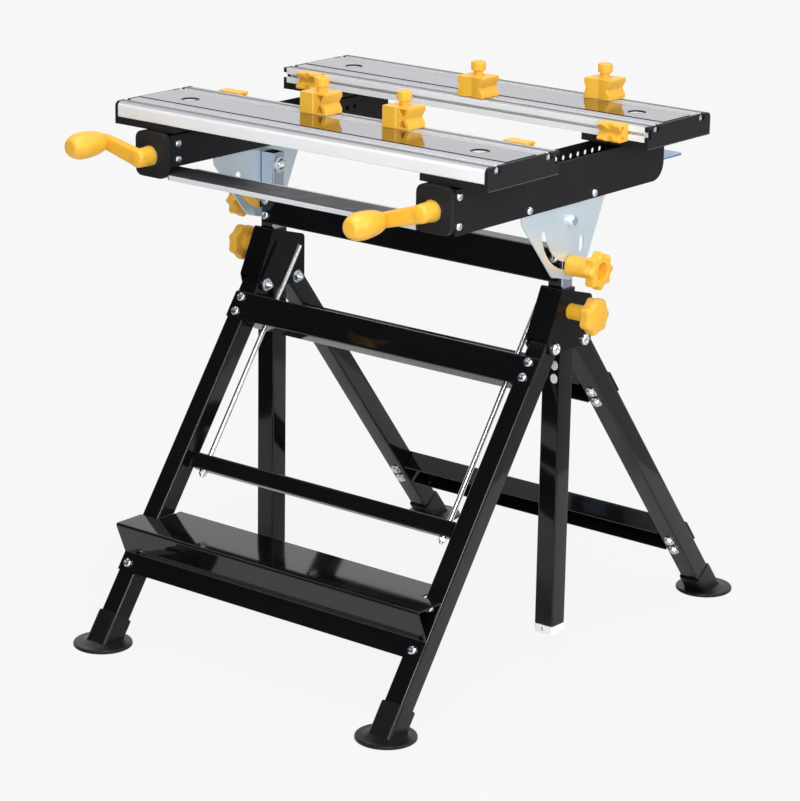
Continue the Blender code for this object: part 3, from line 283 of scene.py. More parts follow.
def metal(name, low, high, rough, stretch, grain, bump, metallic, shaded_top=None):
    """Metal with a directional grain in its colour, roughness and relief, and a painted shade on its upward
    faces where one is given.
    """
    surface, tree, shader = new_finish(name)
    lines = noise(tree, grain, stretch)
    broad = noise(tree, 9.0)
    colour = ramp(tree, broad, low, high)
    if shaded_top:
        colour = painted_top_shade(tree, colour, shaded_top)
    tree.links.new(colour, shader.inputs["Base Color"])
    tree.links.new(remap(tree, lines, *rough), shader.inputs["Roughness"])
    shader.inputs["Metallic"].default_value = metallic
    relief(tree, shader, lines, bump, 0.0001)
    return surface


ALONG_X = (0.03, 1.0, 1.0)
EVEN = (1.0, 1.0, 1.0)
# Painted shade: the jaws' upward faces darker than their sides, for the dark studio that they reflect
JAW_PAINTED_TOP_SHADE = (0.40, 0.40, 0.43)

# Coats: darker and lighter colour, range of roughness, grain, bump and gloss
COATS = {
    "frame_paint": ((0.0035, 0.0035, 0.0045), (0.0050, 0.0050, 0.0062), (0.05, 0.08), 900.0, 0.01, 0.32),
    "bracket_paint": ((0.0035, 0.0035, 0.0045), (0.0050, 0.0050, 0.0062), (0.08, 0.12), 900.0, 0.01, 0.16),
    "rail_paint": ((0.010, 0.010, 0.012), (0.013, 0.013, 0.016), (0.36, 0.44), 1400.0, 0.06, 0.14),
    "black_plastic": ((0.014, 0.014, 0.017), (0.018, 0.018, 0.021), (0.36, 0.46), 1800.0, 0.10, 0.15),
    # Grey lighter than the black caps: a painted highlight along their lower edges
    "cap_lip": ((0.050, 0.050, 0.055), (0.062, 0.062, 0.067), (0.36, 0.46), 1800.0, 0.10, 0.20),
    "rubber": ((0.006, 0.006, 0.007), (0.010, 0.010, 0.011), (0.28, 0.42), 700.0, 0.05, 0.24),
    # Near black: painted shadow in the gaps along the panels' edges
    "seal": ((0.003, 0.003, 0.004), (0.004, 0.004, 0.005), (0.70, 0.80), 900.0, 0.02, 0.0),
    "yellow_plastic": ((0.82, 0.437, 0.031), (0.865, 0.478, 0.042), (0.34, 0.42), 1200.0, 0.04, 0.5),
    # White sleeves in the dog holes: painted light that keeps their shaded insides bright
    "white_plastic": ((0.86, 0.86, 0.85), (0.92, 0.92, 0.91), (0.42, 0.52), 1200.0, 0.04, 0.5),
}
# Metals: darker and lighter colour, range of roughness, stretch, grain, bump and metallic share, then for
# the jaws a painted shade on upward faces
METALS = {
    "zinc": ((0.66, 0.77, 0.86), (0.74, 0.84, 0.92), (0.28, 0.38), EVEN, 60.0, 0.01, 0.6),
    "dark_zinc": ((0.055, 0.058, 0.070), (0.070, 0.073, 0.088), (0.34, 0.44), EVEN, 60.0, 0.01, 0.4),
    "pale_zinc": ((0.86, 0.89, 0.93), (0.91, 0.94, 0.97), (0.30, 0.40), EVEN, 60.0, 0.02, 0.3),
    "lever_zinc": ((0.26, 0.37, 0.60), (0.36, 0.47, 0.70), (0.26, 0.36), EVEN, 60.0, 0.03, 1.0),
    "bright_zinc": ((0.66, 0.70, 0.74), (0.78, 0.82, 0.85), (0.16, 0.26), EVEN, 120.0, 0.03, 1.0),
    "post_zinc": ((0.42, 0.47, 0.56), (0.50, 0.55, 0.64), (0.12, 0.20), EVEN, 60.0, 0.01, 1.0),
    "aluminium": ((0.91, 0.92, 0.94), (0.95, 0.955, 0.97), (0.46, 0.56), ALONG_X, 500.0, 0.012, 0.22,
                  JAW_PAINTED_TOP_SHADE),
    # Dark grey: painted shade along the long edges of the jaw tops
    "edge_shade_band": ((0.15, 0.155, 0.17), (0.17, 0.175, 0.19), (0.46, 0.56), ALONG_X, 500.0, 0.012, 0.22),
    "panel": ((0.315, 0.313, 0.342), (0.35, 0.348, 0.376), (0.07, 0.11), ALONG_X, 1100.0, 0.02, 1.0),
}
FINISHES = {name: coated(name, *look) for name, look in COATS.items()}
FINISHES.update({name: metal(name, *look) for name, look in METALS.items()})

# The CAD's own slot for each finish that isn't named after one
SLOT_OF = {"bright_zinc": "zinc", "pale_zinc": "zinc", "dark_zinc": "zinc", "panel": "aluminium",
           "edge_shade_band": "aluminium", "bracket_paint": "frame_paint", "cap_lip": "black_plastic",
           "seal": "rubber"}
# CAD nodes whose finish differs from their slot's
NODE_FINISHES = {"head_bracket_l": "bracket_paint", "head_bracket_r": "bracket_paint",
                 "tie_bar": "dark_zinc", "inner_post_l": "post_zinc", "inner_post_r": "post_zinc"}


# Frames: each turns (p, q, h) of a section and its extrusion into world axes

def along_x(sign=1, y=0.0, z=0.0):
    return lambda p, q, h: Vector((sign * h, y + p, z + q))


def along_y(x=0.0, z=0.0, sign=1):
    return lambda p, q, h: Vector((x + p, sign * h, z + q))


def along_z(x=0.0, y=0.0):
    return lambda p, q, h: Vector((x + p, y + q, h))


def off_front(x, y, z):
    """Frame whose h stands out of a face that looks forward."""
    return lambda p, q, h: Vector((x + p, y - h, z + q))


def off_side(sign, x, y, z, outward=1):
    """Frame whose h stands out of a face square to X, away from the middle or toward it."""
    return lambda p, q, h: Vector((sign * (x + outward * h), y + p, z + q))


def leg_angle(facing):
    return FRONT_LEG_ANGLE if facing < 0 else REAR_LEG_ANGLE


def leg_frame(facing, x=0.0):
    """p along X, q out of the leg's outer face, h down the leg from its pivot."""
    angle = leg_angle(facing)
    pivot_y = POST_Y + facing * PIVOT_SPREAD
    run, drop = math.sin(angle), math.cos(angle)
    return lambda p, q, h: Vector((x + p, pivot_y + facing * (h * run + q * drop),
                                   PIVOT_Z - h * drop + q * run))


def off_leg(facing, x, down, face, outward=1):
    """Frame whose h stands out of the leg's outer or inner face, at a distance down the leg."""
    leg = leg_frame(facing, x)
    return lambda p, q, h: leg(p, face + outward * h, down + q)


def jaw_frame(name):
    """p from the jaw's inner edge outward, q up, h along X."""
    return lambda p, q, h: Vector((h, JAW_INNER[name] + JAW_FACING[name] * p, q))


# Outlines

def arc(cx, cy, radius, start, end, steps):
    return [(cx + radius * math.cos(start + (end - start) * i / steps),
             cy + radius * math.sin(start + (end - start) * i / steps)) for i in range(steps + 1)]


def rounded(width, height, radius, steps=4):
    points = []
    for index, (sx, sy) in enumerate(((1, 1), (-1, 1), (-1, -1), (1, -1))):
        start = index * math.pi / 2
        points += arc(sx * (width / 2 - radius), sy * (height / 2 - radius), radius,
                      start, start + math.pi / 2, steps)
    return points


def polar(radius_at, count):
    """Closed outline from a radius for each angle."""
    angles = [math.tau * i / count for i in range(count)]
    return [(radius_at(a) * math.cos(a), radius_at(a) * math.sin(a)) for a in angles]


def circle(radius, count=32):
    return polar(lambda angle: radius, count)


def hexagon(radius, count=36):
    """Regular hexagon, by the radius to its flats."""
    def radius_at(angle):
        return radius / math.cos((angle + math.pi / 6) % (math.pi / 3) - math.pi / 6)
    return polar(radius_at, count)


def cross(radius, count=32):
    """Outline of a cross recess."""
    def radius_at(angle):
        swing = abs(math.sin(2 * angle))
        return radius * (0.30 + 0.70 * max(0.0, 1.0 - swing / 0.75) ** 0.7)
    return polar(radius_at, count)


# Shapes: lists of points and faces

LEAST_RADIUS = 0.01


def loft(rings, to_world, hollow=False):
    """Skin over rings, each an outline and a height; the ends close unless the shape is hollow."""
    count = len(rings[0][0])
    verts = [to_world(p, q, h) for outline, h in rings for p, q in outline]
    faces = []
    steps = len(rings) if hollow else len(rings) - 1
    for level in range(steps):
        low, high = level * count, (level + 1) % len(rings) * count
        for i in range(count):
            j = (i + 1) % count
            faces.append((low + i, low + j, high + j, high + i))
    if not hollow:
        faces.append(tuple(range(count)))
        faces.append(tuple(range(len(verts) - count, len(verts))))
    return verts, faces


def prism(outline, low, high, to_world):
    return loft([(outline, low), (outline, high)], to_world)


def lathe(profile, to_world, count=32, hollow=False):
    """Turn (radius, height) points round the frame's own axis."""
    rings = [(circle(max(radius, LEAST_RADIUS), count), height) for radius, height in profile]
    return loft(rings, to_world, hollow)


def together(*shapes):
    verts, faces = [], []
    for points, polygons in shapes:
        shift = len(verts)
        verts += points
        faces += [tuple(i + shift for i in polygon) for polygon in polygons]
    return verts, faces


# Objects: limits in degrees, the gap that a weld closes in millimetres

SMOOTH_LIMIT = 38.0
BEVEL_LIMIT = 40.0
WELD_GAP = 0.002


def smoothing_group():
    """Geometry nodes that shade smooth across edges that turn by less than the limit."""
    group = bpy.data.node_groups.new("smooth_by_angle", "GeometryNodeTree")
    group.interface.new_socket("Geometry", in_out="INPUT", socket_type="NodeSocketGeometry")
    group.interface.new_socket("Geometry", in_out="OUTPUT", socket_type="NodeSocketGeometry")
    start = group.nodes.new("NodeGroupInput")
    end = group.nodes.new("NodeGroupOutput")
    faces = group.nodes.new("GeometryNodeSetShadeSmooth")
    faces.domain = "FACE"
    edges = group.nodes.new("GeometryNodeSetShadeSmooth")
    edges.domain = "EDGE"
    edges.inputs["Shade Smooth"].default_value = False
    angle = group.nodes.new("GeometryNodeInputMeshEdgeAngle")
    sharp = group.nodes.new("FunctionNodeCompare")
    sharp.operation = "GREATER_THAN"
    sharp.inputs["B"].default_value = math.radians(SMOOTH_LIMIT)
    group.links.new(angle.outputs["Unsigned Angle"], sharp.inputs["A"])
    group.links.new(sharp.outputs["Result"], edges.inputs["Selection"])
    group.links.new(start.outputs[0], faces.inputs["Geometry"])
    group.links.new(faces.outputs["Geometry"], edges.inputs["Geometry"])
    group.links.new(edges.outputs["Geometry"], end.inputs[0])
    return group


SMOOTHING = smoothing_group()


def refine(obj, edge, segments=2):
    """Round the sharp edges by a width in millimetres and shade the rest smooth."""
    if edge > 0.0:
        bevel = obj.modifiers.new("edges", "BEVEL")
        bevel.width = edge * MM
        bevel.segments = segments
        bevel.limit_method = "ANGLE"
        bevel.angle_limit = math.radians(BEVEL_LIMIT)
        bevel.use_clamp_overlap = True
    obj.modifiers.new("shading", "NODES").node_group = SMOOTHING
    weighted = obj.modifiers.new("normals", "WEIGHTED_NORMAL")
    weighted.keep_sharp = True


def make_object(name, shape):
    verts, faces = shape
    mesh = bpy.data.meshes.new(name)
    mesh.from_pydata([point * MM for point in verts], [], faces)
    edit = bmesh.new()
    edit.from_mesh(mesh)
    bmesh.ops.recalc_face_normals(edit, faces=edit.faces)
    edit.to_mesh(mesh)
    edit.free()
    obj = bpy.data.objects.new(name, mesh)
    bpy.context.scene.collection.objects.link(obj)
    return obj


def piece(name, shape, finish, body, nodes=(), edge=0.0, segments=2, cutters=()):
    """A visible piece that rides on a CAD body and may stand for some of its nodes."""
    obj = make_object(name, shape)
    obj.data.materials.append(FINISHES[finish])
    for index, cutter in enumerate(cutters):
        tool = make_object(name + "_cutter_" + str(index), cutter)
        step = obj.modifiers.new("cut", "BOOLEAN")
        step.operation = "DIFFERENCE"
        step.solver = "EXACT"
        step.object = tool
        apply_modifiers(obj)
        bpy.data.objects.remove(tool, do_unlink=True)
    refine(obj, edge, segments)
    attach(obj, body)
    if nodes:
        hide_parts(*nodes)
    SLOT_OF.get(finish, finish)
    return obj


def apply_modifiers(obj):
    graph = bpy.context.evaluated_depsgraph_get()
    mesh = bpy.data.meshes.new_from_object(obj.evaluated_get(graph))
    obj.modifiers.clear()
    obj.data = mesh


def dress(node, edge, segments=2):
    """Give a CAD node its finish, small edge rounds and smooth shading."""
    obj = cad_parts[node]
    finish = NODE_FINISHES.get(node, obj.data.materials[0].name.split(".")[0])
    obj.data.materials[0] = FINISHES[finish]
    weld = obj.modifiers.new("weld", "WELD")
    weld.merge_threshold = WELD_GAP * MM
    refine(obj, edge, segments)


# Fasteners

def screw_head(to_world, radius, height=None):
    """Pan head with a cross recess."""
    tall = height or radius * 0.75
    return loft([(circle(radius), 0.0), (circle(radius), 0.35 * tall), (circle(0.93 * radius), 0.66 * tall),
                 (circle(0.76 * radius), 0.90 * tall), (cross(0.62 * radius), tall),
                 (cross(0.56 * radius), 0.45 * tall)], to_world)


def hex_head(to_world, radius, height, rim=1.45):
    """Hexagon with a turned chamfer, over its washer."""
    washer = 1.2
    body = loft([(hexagon(radius), washer), (hexagon(radius), washer + 0.8 * height),
                 (circle(0.94 * radius, 36), washer + height),
                 (circle(0.3 * radius, 36), washer + height)], to_world)
    ring = lathe([(rim * radius, 0.0), (rim * radius, 0.8 * washer), (0.95 * rim * radius, washer)],
                 to_world)
    return together(ring, body)


def lock_nut(to_world, radius, height):
    """Hexagon nut with a collar and the end of its bolt."""
    stud = 0.52 * radius
    collar = lathe([(0.86 * radius, height), (0.86 * radius, height + 2.4), (0.72 * radius, height + 3.2),
                    (stud, height + 3.2), (stud, height + 4.6), (0.8 * stud, height + 5.2)], to_world)
    return together(hex_head(to_world, radius, height), collar)


def rivet_head(to_world, radius, height):
    return lathe([(radius, 0.0), (radius, 0.25 * height), (0.92 * radius, 0.60 * height),
                  (0.70 * radius, 0.88 * height), (0.35 * radius, height), (0.0, height)], to_world)


def build_leg_fasteners():
    """Screws through the crossbars and the step plate into the legs, with their back ends."""
    screws, nuts = [], []
    for _, sign in SIDES:
        x = sign * LEG_X
        for spread in (-BAR_SCREW_SPREAD, BAR_SCREW_SPREAD):
            screws.append(screw_head(off_leg(-1, x, FRONT_BAR_AT + spread, WEB_FACE), BAR_SCREW))
            screws.append(rivet_head(off_leg(-1, x, FRONT_BAR_AT + spread, -TUBE / 2, -1), *BAR_RIVET))
            for bar in REAR_BARS_AT:
                nuts.append(screw_head(off_leg(1, x, bar + spread, WEB_FACE), BAR_SCREW))
                nuts.append(hex_head(off_leg(1, x, bar + spread, -TUBE / 2, -1), *BAR_NUT))
        for z in (LIP_SCREW_Z, TAB_SCREW_Z):
            down = (PIVOT_Z + WEB_FACE * math.sin(FRONT_LEG_ANGLE) - z) / math.cos(FRONT_LEG_ANGLE)
            screws.append(screw_head(off_leg(-1, x, down, WEB_FACE), BAR_SCREW))
    piece("front_leg_screws", together(*screws), "bright_zinc", "front_legs")
    piece("rear_leg_nuts", together(*nuts), "bright_zinc", "rear_legs")


def build_pivots():
    """Bolts through the head brackets, in place of the plain pins."""
    low, high = LEG_X - BRACKET_OUTER, LEG_X + BRACKET_OUTER
    for place, facing in (("front", -1), ("rear", 1)):
        y = POST_Y + facing * PIVOT_SPREAD
        for side, sign in SIDES:
            shank = lathe([(PIVOT_SHANK, low), (PIVOT_SHANK, high)], along_x(sign, y, PIVOT_Z))
            head = lathe([(6.6, 0.0), (6.6, 2.6), (6.0, 3.6), (4.6, 4.6), (3.6, 4.6), (3.0, 3.2)],
                         off_side(sign, high, y, PIVOT_Z))
            nut = lock_nut(off_side(sign, low, y, PIVOT_Z, -1), *PIVOT_NUT)
            piece(place + "_pivot_bolt_" + side, together(shank, head, nut), "bright_zinc", "stand",
                  [place + "_pivot_pin_" + side])


def build_post_details():
    """Bare metal that shows through the posts' holes, and the plugs' rivets."""
    spots, rivets = [], []
    ring = polar(lambda a: 4.6 + 0.8 * abs(math.sin(a)), 32)
    face = POST_Y - TUBE / 2
    for _, sign in SIDES:
        for z in POST_HOLES:
            spot = off_front(sign * (LEG_X + POST_HOLE_SHIFT), face, z)
            spots.append(loft([(ring, -0.6), (ring, 0.05), (circle(4.0), 0.2)], spot))
        rivets.append(rivet_head(off_front(sign * LEG_X, face, PLUG_RIVET_Z), *PLUG_RIVET))
    piece("post_hole_linings", together(*spots), "pale_zinc", "stand")
    piece("plug_rivets", together(*rivets), "bright_zinc", "stand")


def build_tie_bar_edges():
    """Pale strips along the top of the tie bar's front and along its back edge: painted highlights on the
    dark bar's edges.
    """
    front, back, top = TIE_BAR_FRONT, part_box("tie_bar")[1][1] / MM, TIE_BAR_TOP
    lip = [(front - 0.25, top - 5.6), (front - 0.25, top - 0.6), (front, top - 0.2), (front, top - 5.8)]
    edge = [(back - 2.2, top - 0.3), (back - 2.2, top + 0.1), (back - 1.6, top + 0.3), (back, top + 0.3),
            (back, top - 0.3)]
    strips = [prism(outline, -TIE_BAR_HALF, TIE_BAR_HALF, along_x()) for outline in (lip, edge)]
    piece("tie_bar_edge_highlights", together(*strips), "pale_zinc", "top")


def build_top_fasteners():
    """Screws of the column bar, and the bolts and screws of the tilting top."""
    column, top = [], []
    for _, sign in SIDES:
        for z in COLUMN_SCREWS:
            column.append(screw_head(off_front(sign * LEG_X, COLUMN_BAR_FACE, z), COLUMN_SCREW))
        for y, z in RAIL_BOLTS:
            top.append(rivet_head(off_side(sign, RAIL_OUTER, y, z), *RAIL_BOLT))
            top.append(lock_nut(off_side(sign, PLATE_INNER, y, z, -1), *RAIL_NUT))
        for y, z in OUTER_HOUSING_SCREWS:
            top.append(screw_head(off_side(sign, RAIL_OUTER, y, z), *HOUSING_SCREW))
        for y, z in INNER_HOUSING_SCREWS:
            top.append(screw_head(off_side(sign, RAIL_INNER, y, z, -1), *HOUSING_SCREW))
        top.append(hex_head(off_side(sign, PLATE_OUTER, POST_Y, TILT_Z), *TILT_BOLT))
        top.append(lock_nut(off_side(sign, LEG_X - INNER_POST_FACE, POST_Y, TILT_Z, -1), *TILT_NUT))
    piece("column_screws", together(*column), "bright_zinc", "column")
    piece("top_screws", together(*top), "bright_zinc", "top")


# Feet

def foot_disc(x, y):
    """Dished disc on the floor."""
    rim = FOOT_RADIUS
    return lathe([(rim - 1.0, 0.0), (rim, 0.8), (rim, 2.6), (rim - 0.6, 3.8), (rim - 2.0, 4.4),
                  (rim - 4.0, 4.1), (24.0, 4.6), (19.0, 6.2), (12.0, 7.4), (0.0, 7.8)], along_z(x, y), 72)


def foot_sleeve(facing, x):
    """Square sleeve over the end of a leg, cut level where it meets the disc."""
    angle = leg_angle(facing)
    leg = leg_frame(facing, x)
    start = PIVOT_Z / math.cos(angle) - FOOT_SLEEVE_TOP
    wall = rounded(FOOT_SLEEVE, FOOT_SLEEVE, 4.5, 6)
    bore = rounded(TUBE + 0.4, TUBE + 0.4, 2.7, 6)

    def tilted(p, q, h):
        end = (PIVOT_Z + q * math.sin(angle) - FOOT_SLEEVE_BASE) / math.cos(angle)
        return leg(p, q, start + h * (end - start))

    def scaled(share):
        return [(p * share, q * share) for p, q in wall]

    return loft([(scaled(1.05), 1.0), (wall, 0.82), (wall, 0.10), (scaled(0.985), 0.02), (bore, 0.0),
                 (bore, 0.25)], tilted)


def build_feet():
    for name, facing in (("front", -1), ("rear", 1)):
        for side, sign in SIDES:
            x = sign * LEG_X
            shape = together(foot_disc(x, facing * FOOT_Y), foot_sleeve(facing, x))
            node = name + "_foot_" + side
            piece(node + "_form", shape, "rubber", name + "_legs", [node])


# Release bar and rods

def build_release():
    """Rectangular bar between the front legs, with the rods that it pulls."""
    high = RELEASE_AT - RELEASE_SECTION / 2
    low = high + RELEASE_HEIGHT
    middle = leg_frame(-1)

    def across(p, q, h):
        return middle(h, p - RELEASE_SETBACK, (low + high) / 2 + q)

    section = rounded(RELEASE_SECTION, RELEASE_HEIGHT, 2.6)
    piece("release_bar_form", prism(section, -RELEASE_HALF, RELEASE_HALF, across), "frame_paint", "release",
          ["release_bar"], edge=0.4)
    for side, sign in SIDES:
        leg = leg_frame(-1, sign * ROD_X)

        def rod(p, q, h):
            return leg(p, q - ROD_SETBACK, h)

        shank = lathe([(ROD_RADIUS - 0.8, -ROD_HEAD), (ROD_RADIUS, -ROD_HEAD + 1.0), (ROD_RADIUS, low + 5.0),
                       (ROD_RADIUS - 0.6, low + 7.4)], rod)
        collar = lathe([(ROD_RADIUS, -2.4), (ROD_RADIUS + 0.8, -1.8), (ROD_RADIUS + 0.8, 0.0)],
                       lambda p, q, h: rod(p, q, high + h))
        lower = hex_head(lambda p, q, h: rod(p, q, low + h), *ROD_NUT)
        piece("release_rod_" + side + "_form", together(shank, collar, lower), "bright_zinc", "release",
              ["release_rod_" + side])


# Star knobs

def star(scale, lobe, lobes):
    """Lobed outline with round crests and wide hollows."""
    def radius_at(angle):
        wave = 0.5 + 0.5 * math.cos(lobes * angle)
        return scale * (KNOB_RADIUS - lobe + lobe * wave ** 1.3)
    return polar(radius_at, STAR_POINTS)


def build_height_knob(side, sign):
    """Domed knob on a plain stem."""
    face, back, stem = HEIGHT_KNOB_FACE, HEIGHT_KNOB_FACE - 15.0, 8.8

    def lobed(scale, lobe=2.8):
        return star(scale, lobe, HEIGHT_KNOB_LOBES)

    rings = [(circle(stem, STAR_POINTS), LEG_X + BRACKET_OUTER + SEAT),
             (circle(stem, STAR_POINTS), back - 2.5), (circle(stem + 1.6, STAR_POINTS), back - 0.4),
             (lobed(0.80), back), (lobed(0.94), back + 0.8), (lobed(1.0), back + 2.6),
             (lobed(1.0), face - 6.0), (lobed(0.985), face - 4.4),
             (lobed(0.945), face - 3.0), (lobed(0.87, 2.2), face - 1.9), (lobed(0.70, 1.2), face - 0.9),
             (lobed(0.40, 0.4), face - 0.2), (circle(2.0, STAR_POINTS), face)]
    name = "height_knob_" + side
    piece(name + "_form", loft(rings, along_x(sign, POST_Y, HEIGHT_KNOB_Z)), "yellow_plastic", name, [name])


def build_tilt_knob(side, sign):
    """Star knob on a stout stem, with a round recess in its face."""
    face, back, stem, recess = TILT_KNOB_FACE, TILT_KNOB_FACE - 13.0, 11.6, 9.4

    def lobed(scale):
        return star(scale, 4.0, TILT_KNOB_LOBES)

    rings = [(circle(stem, STAR_POINTS), PLATE_OUTER + 1.4), (circle(stem - 0.8, STAR_POINTS), back - 2.5),
             (circle(stem + 0.6, STAR_POINTS), back - 0.4), (lobed(0.80), back), (lobed(0.94), back + 0.8),
             (lobed(1.0), back + 2.6), (lobed(1.0), face - 2.6), (lobed(0.955), face - 0.8),
             (lobed(0.88), face), (circle(recess + 0.9, STAR_POINTS), face),
             (circle(recess, STAR_POINTS), face - 1.0), (circle(recess - 1.0, STAR_POINTS), face - 9.0)]
    name = "tilt_knob_" + side
    piece(name + "_form", loft(rings, along_x(sign, POST_Y, TILT_KNOB_Z)), "yellow_plastic", name, [name])


def build_knobs():
    bracket = LEG_X + BRACKET_OUTER
    for side, sign in SIDES:
        build_height_knob(side, sign)
        build_tilt_knob(side, sign)
        tilt = lathe([(STUD_RADIUS, TILT_STUD_END), (STUD_RADIUS, PLATE_OUTER + 0.2),
                      (STUD_WASHER, PLATE_OUTER + 0.2), (STUD_WASHER, PLATE_OUTER + 1.3),
                      (STUD_RADIUS - 0.1, PLATE_OUTER + 1.4)], along_x(sign, POST_Y, TILT_KNOB_Z))
        piece("tilt_stud_" + side, tilt, "bright_zinc", "tilt_knob_" + side)
        height = lathe([(STUD_RADIUS, HEIGHT_STUD_END), (STUD_RADIUS, bracket + 0.4),
                        (STUD_RADIUS - 0.1, bracket + 3.0)], along_x(sign, POST_Y, HEIGHT_KNOB_Z))
        piece("height_stud_" + side, height, "bright_zinc", "height_knob_" + side)


# Spindles and cranks

def spindle_thread(to_world):
    """Screw thread as a helix with flat crests."""
    turns, count = int((SPINDLE_END - THREAD_START) / SPINDLE_PITCH), 20
    shape = ((0.0, 1.0), (0.22, 1.0), (0.45, 0.86), (0.75, 0.86))
    verts, faces = [], []
    rows = turns * count
    for step in range(rows + 1):
        angle = math.tau * step / count
        along = THREAD_START + SPINDLE_PITCH * step / count
        for shift, radius in shape:
            r = SPINDLE_RADIUS * radius
            verts.append(to_world(r * math.cos(angle), r * math.sin(angle), along + shift * SPINDLE_PITCH))
    width = len(shape)
    for step in range(rows):
        for i in range(width - 1):
            a = step * width + i
            faces.append((a, a + width, a + width + 1, a + 1))
    for step in range(rows - count):
        a, b = step * width + width - 1, (step + count) * width
        faces.append((a, a + width, b + width, b))
    return verts, faces


def build_spindles():
    for side, sign in SIDES:
        to_world = along_y(sign * SPINDLE_X, SPINDLE_Z)
        core = lathe([(SPINDLE_JOURNAL, CRANK_PLANE + 6.0), (SPINDLE_JOURNAL, WASHER_FRONT),
                      (WASHER_RADIUS, WASHER_FRONT), (WASHER_RADIUS, WASHER_BACK - 0.3),
                      (WASHER_RADIUS - 0.4, WASHER_BACK), (SPINDLE_CORE, WASHER_BACK),
                      (SPINDLE_CORE, SPINDLE_END - 1.0), (SPINDLE_CORE - 1.1, SPINDLE_END)], to_world)
        piece("spindle_" + side + "_form", together(core, spindle_thread(to_world)), "bright_zinc",
              "crank_" + side, ["spindle_" + side])


# Crank hub: radius and Y
HUB_PROFILE = ((10.6, -233.6), (10.9, -234.6), (10.7, -246.0), (10.3, -252.0), (9.4, -255.0), (7.4, -256.6),
               (0.0, -257.0))
# Crank arm: place along it, width, thickness and shift out of its plane
ARM_SECTIONS = ((-9.8, 9.0, 6.5, 0.0), (-8.4, 14.0, 9.5, 0.0), (-5.0, 18.4, 11.4, 0.0),
                (0.0, 20.0, 12.2, 0.0), (18.0, 18.8, 12.0, -0.4), (36.0, 17.6, 11.6, -0.8),
                (50.0, 17.0, 11.2, -1.0), (55.6, 15.0, 10.2, -1.0), (59.2, 10.4, 7.8, -1.0),
                (60.4, 6.0, 5.0, -1.0))
# Crank grip: shares of its length and of its radius
GRIP_PROFILE = ((0.012, 0.60), (0.035, 0.685), (0.08, 0.75), (0.16, 0.83), (0.27, 0.905), (0.40, 0.96),
                (0.52, 0.99), (0.62, 1.0), (0.71, 0.98), (0.79, 0.93), (0.86, 0.85), (0.92, 0.75),
                (0.965, 0.63), (0.99, 0.52), (1.0, 0.40))


def build_cranks():
    for side, sign in SIDES:
        axis_x = sign * SPINDLE_X
        dx, dz = math.cos(CRANK_TURN[side]), math.sin(CRANK_TURN[side])

        def arm_frame(p, q, h):
            """h along the arm, p across it in the crank's plane, q out of the plane."""
            return Vector((axis_x + h * dx - p * dz, CRANK_PLANE + q, SPINDLE_Z + h * dz + p * dx))

        hub = lathe(HUB_PROFILE, along_y(axis_x, SPINDLE_Z), 48)
        rings = []
        for along, wide, thick, out in ARM_SECTIONS:
            corner = min(wide, thick) * 0.36
            rings.append(([(p, q + out) for p, q in rounded(wide, thick, corner, 5)], along))
        front = CRANK_PLANE - 5.5
        length = front - CRANK_TIP
        profile = [(7.6, front + 6.0), (7.7, front)]
        profile += [(GRIP_RADIUS * radius, front - length * along) for along, radius in GRIP_PROFILE]
        grip = lathe(profile, along_y(axis_x + CRANK_ARM * dx, SPINDLE_Z + CRANK_ARM * dz), 48)
        piece("crank_" + side + "_form", together(hub, loft(rings, arm_frame), grip), "yellow_plastic",
              "crank_" + side, ["crank_" + side])


# Jaws

def top_slot(at):
    mouth, room = SLOT_MOUTH / 2, SLOT_WIDTH / 2
    lip, floor = JAW_TOP - JAW_SKIN, JAW_TOP - SLOT_DEPTH
    return [(at - mouth, JAW_TOP), (at - mouth, lip), (at - room, lip), (at - room, floor),
            (at + room, floor), (at + room, lip), (at + mouth, lip), (at + mouth, JAW_TOP)]


def groove(at, width=0.7, depth=0.5):
    return [(at - width / 2, JAW_TOP), (at - width / 4, JAW_TOP - depth), (at + width / 4, JAW_TOP - depth),
            (at + width / 2, JAW_TOP)]


def jaw_section():
    middle = (JAW_BOTTOM + JAW_TOP) / 2
    mouth, room = FACE_SLOT_MOUTH / 2, SLOT_WIDTH / 2
    points = [(0.0, JAW_BOTTOM), (0.0, middle - mouth), (JAW_SKIN, middle - mouth),
              (JAW_SKIN, middle - room), (FACE_SLOT_DEPTH, middle - room), (FACE_SLOT_DEPTH, middle + room),
              (JAW_SKIN, middle + room), (JAW_SKIN, middle + mouth), (0.0, middle + mouth)]
    points += arc(JAW_EDGE, JAW_TOP - JAW_EDGE, JAW_EDGE, math.pi, math.pi / 2, 4)
    points += groove(EDGE_GROOVE)
    points += top_slot(SLOT_INSET)
    for at in TOP_GROOVES:
        points += groove(at)
    sunk = JAW_TOP - PANEL_DEPTH
    low, high = PANEL_EDGE - PANEL_GAP, JAW_WIDTH - PANEL_EDGE + PANEL_GAP
    points += [(low, JAW_TOP), (low, sunk), (high, sunk), (high, JAW_TOP)]
    for at in reversed(TOP_GROOVES):
        points += groove(JAW_WIDTH - at)
    points += top_slot(JAW_WIDTH - SLOT_INSET)
    points += arc(JAW_WIDTH - JAW_ROUND, JAW_TOP - JAW_ROUND, JAW_ROUND, math.pi / 2, 0.0, 10)
    points += [(JAW_WIDTH, JAW_BOTTOM + JAW_CHAMFER), (JAW_WIDTH - JAW_CHAMFER, JAW_BOTTOM)]
    return points


def strip(at, width, rise=STRIP_RISE):
    """Section of a flat strip that is let into the top of a jaw."""
    low, high = JAW_TOP - PANEL_DEPTH - 0.2, JAW_TOP + rise
    return [(at - width / 2, low), (at - width / 2, high), (at + width / 2, high), (at + width / 2, low)]


def along_jaw(name, *outlines):
    """Sections drawn out over the length of a jaw."""
    return together(*[prism(outline, -JAW_LENGTH, JAW_LENGTH, jaw_frame(name)) for outline in outlines])


def in_dog_holes(name, profile, count, hollow=True):
    """The same turned shape in each of a jaw's two dog holes."""
    y = jaw_frame(name)(JAW_WIDTH / 2, 0.0, 0.0).y
    return [lathe(profile, along_z(sign * DOG_HOLE_X, y), count, hollow) for _, sign in SIDES]


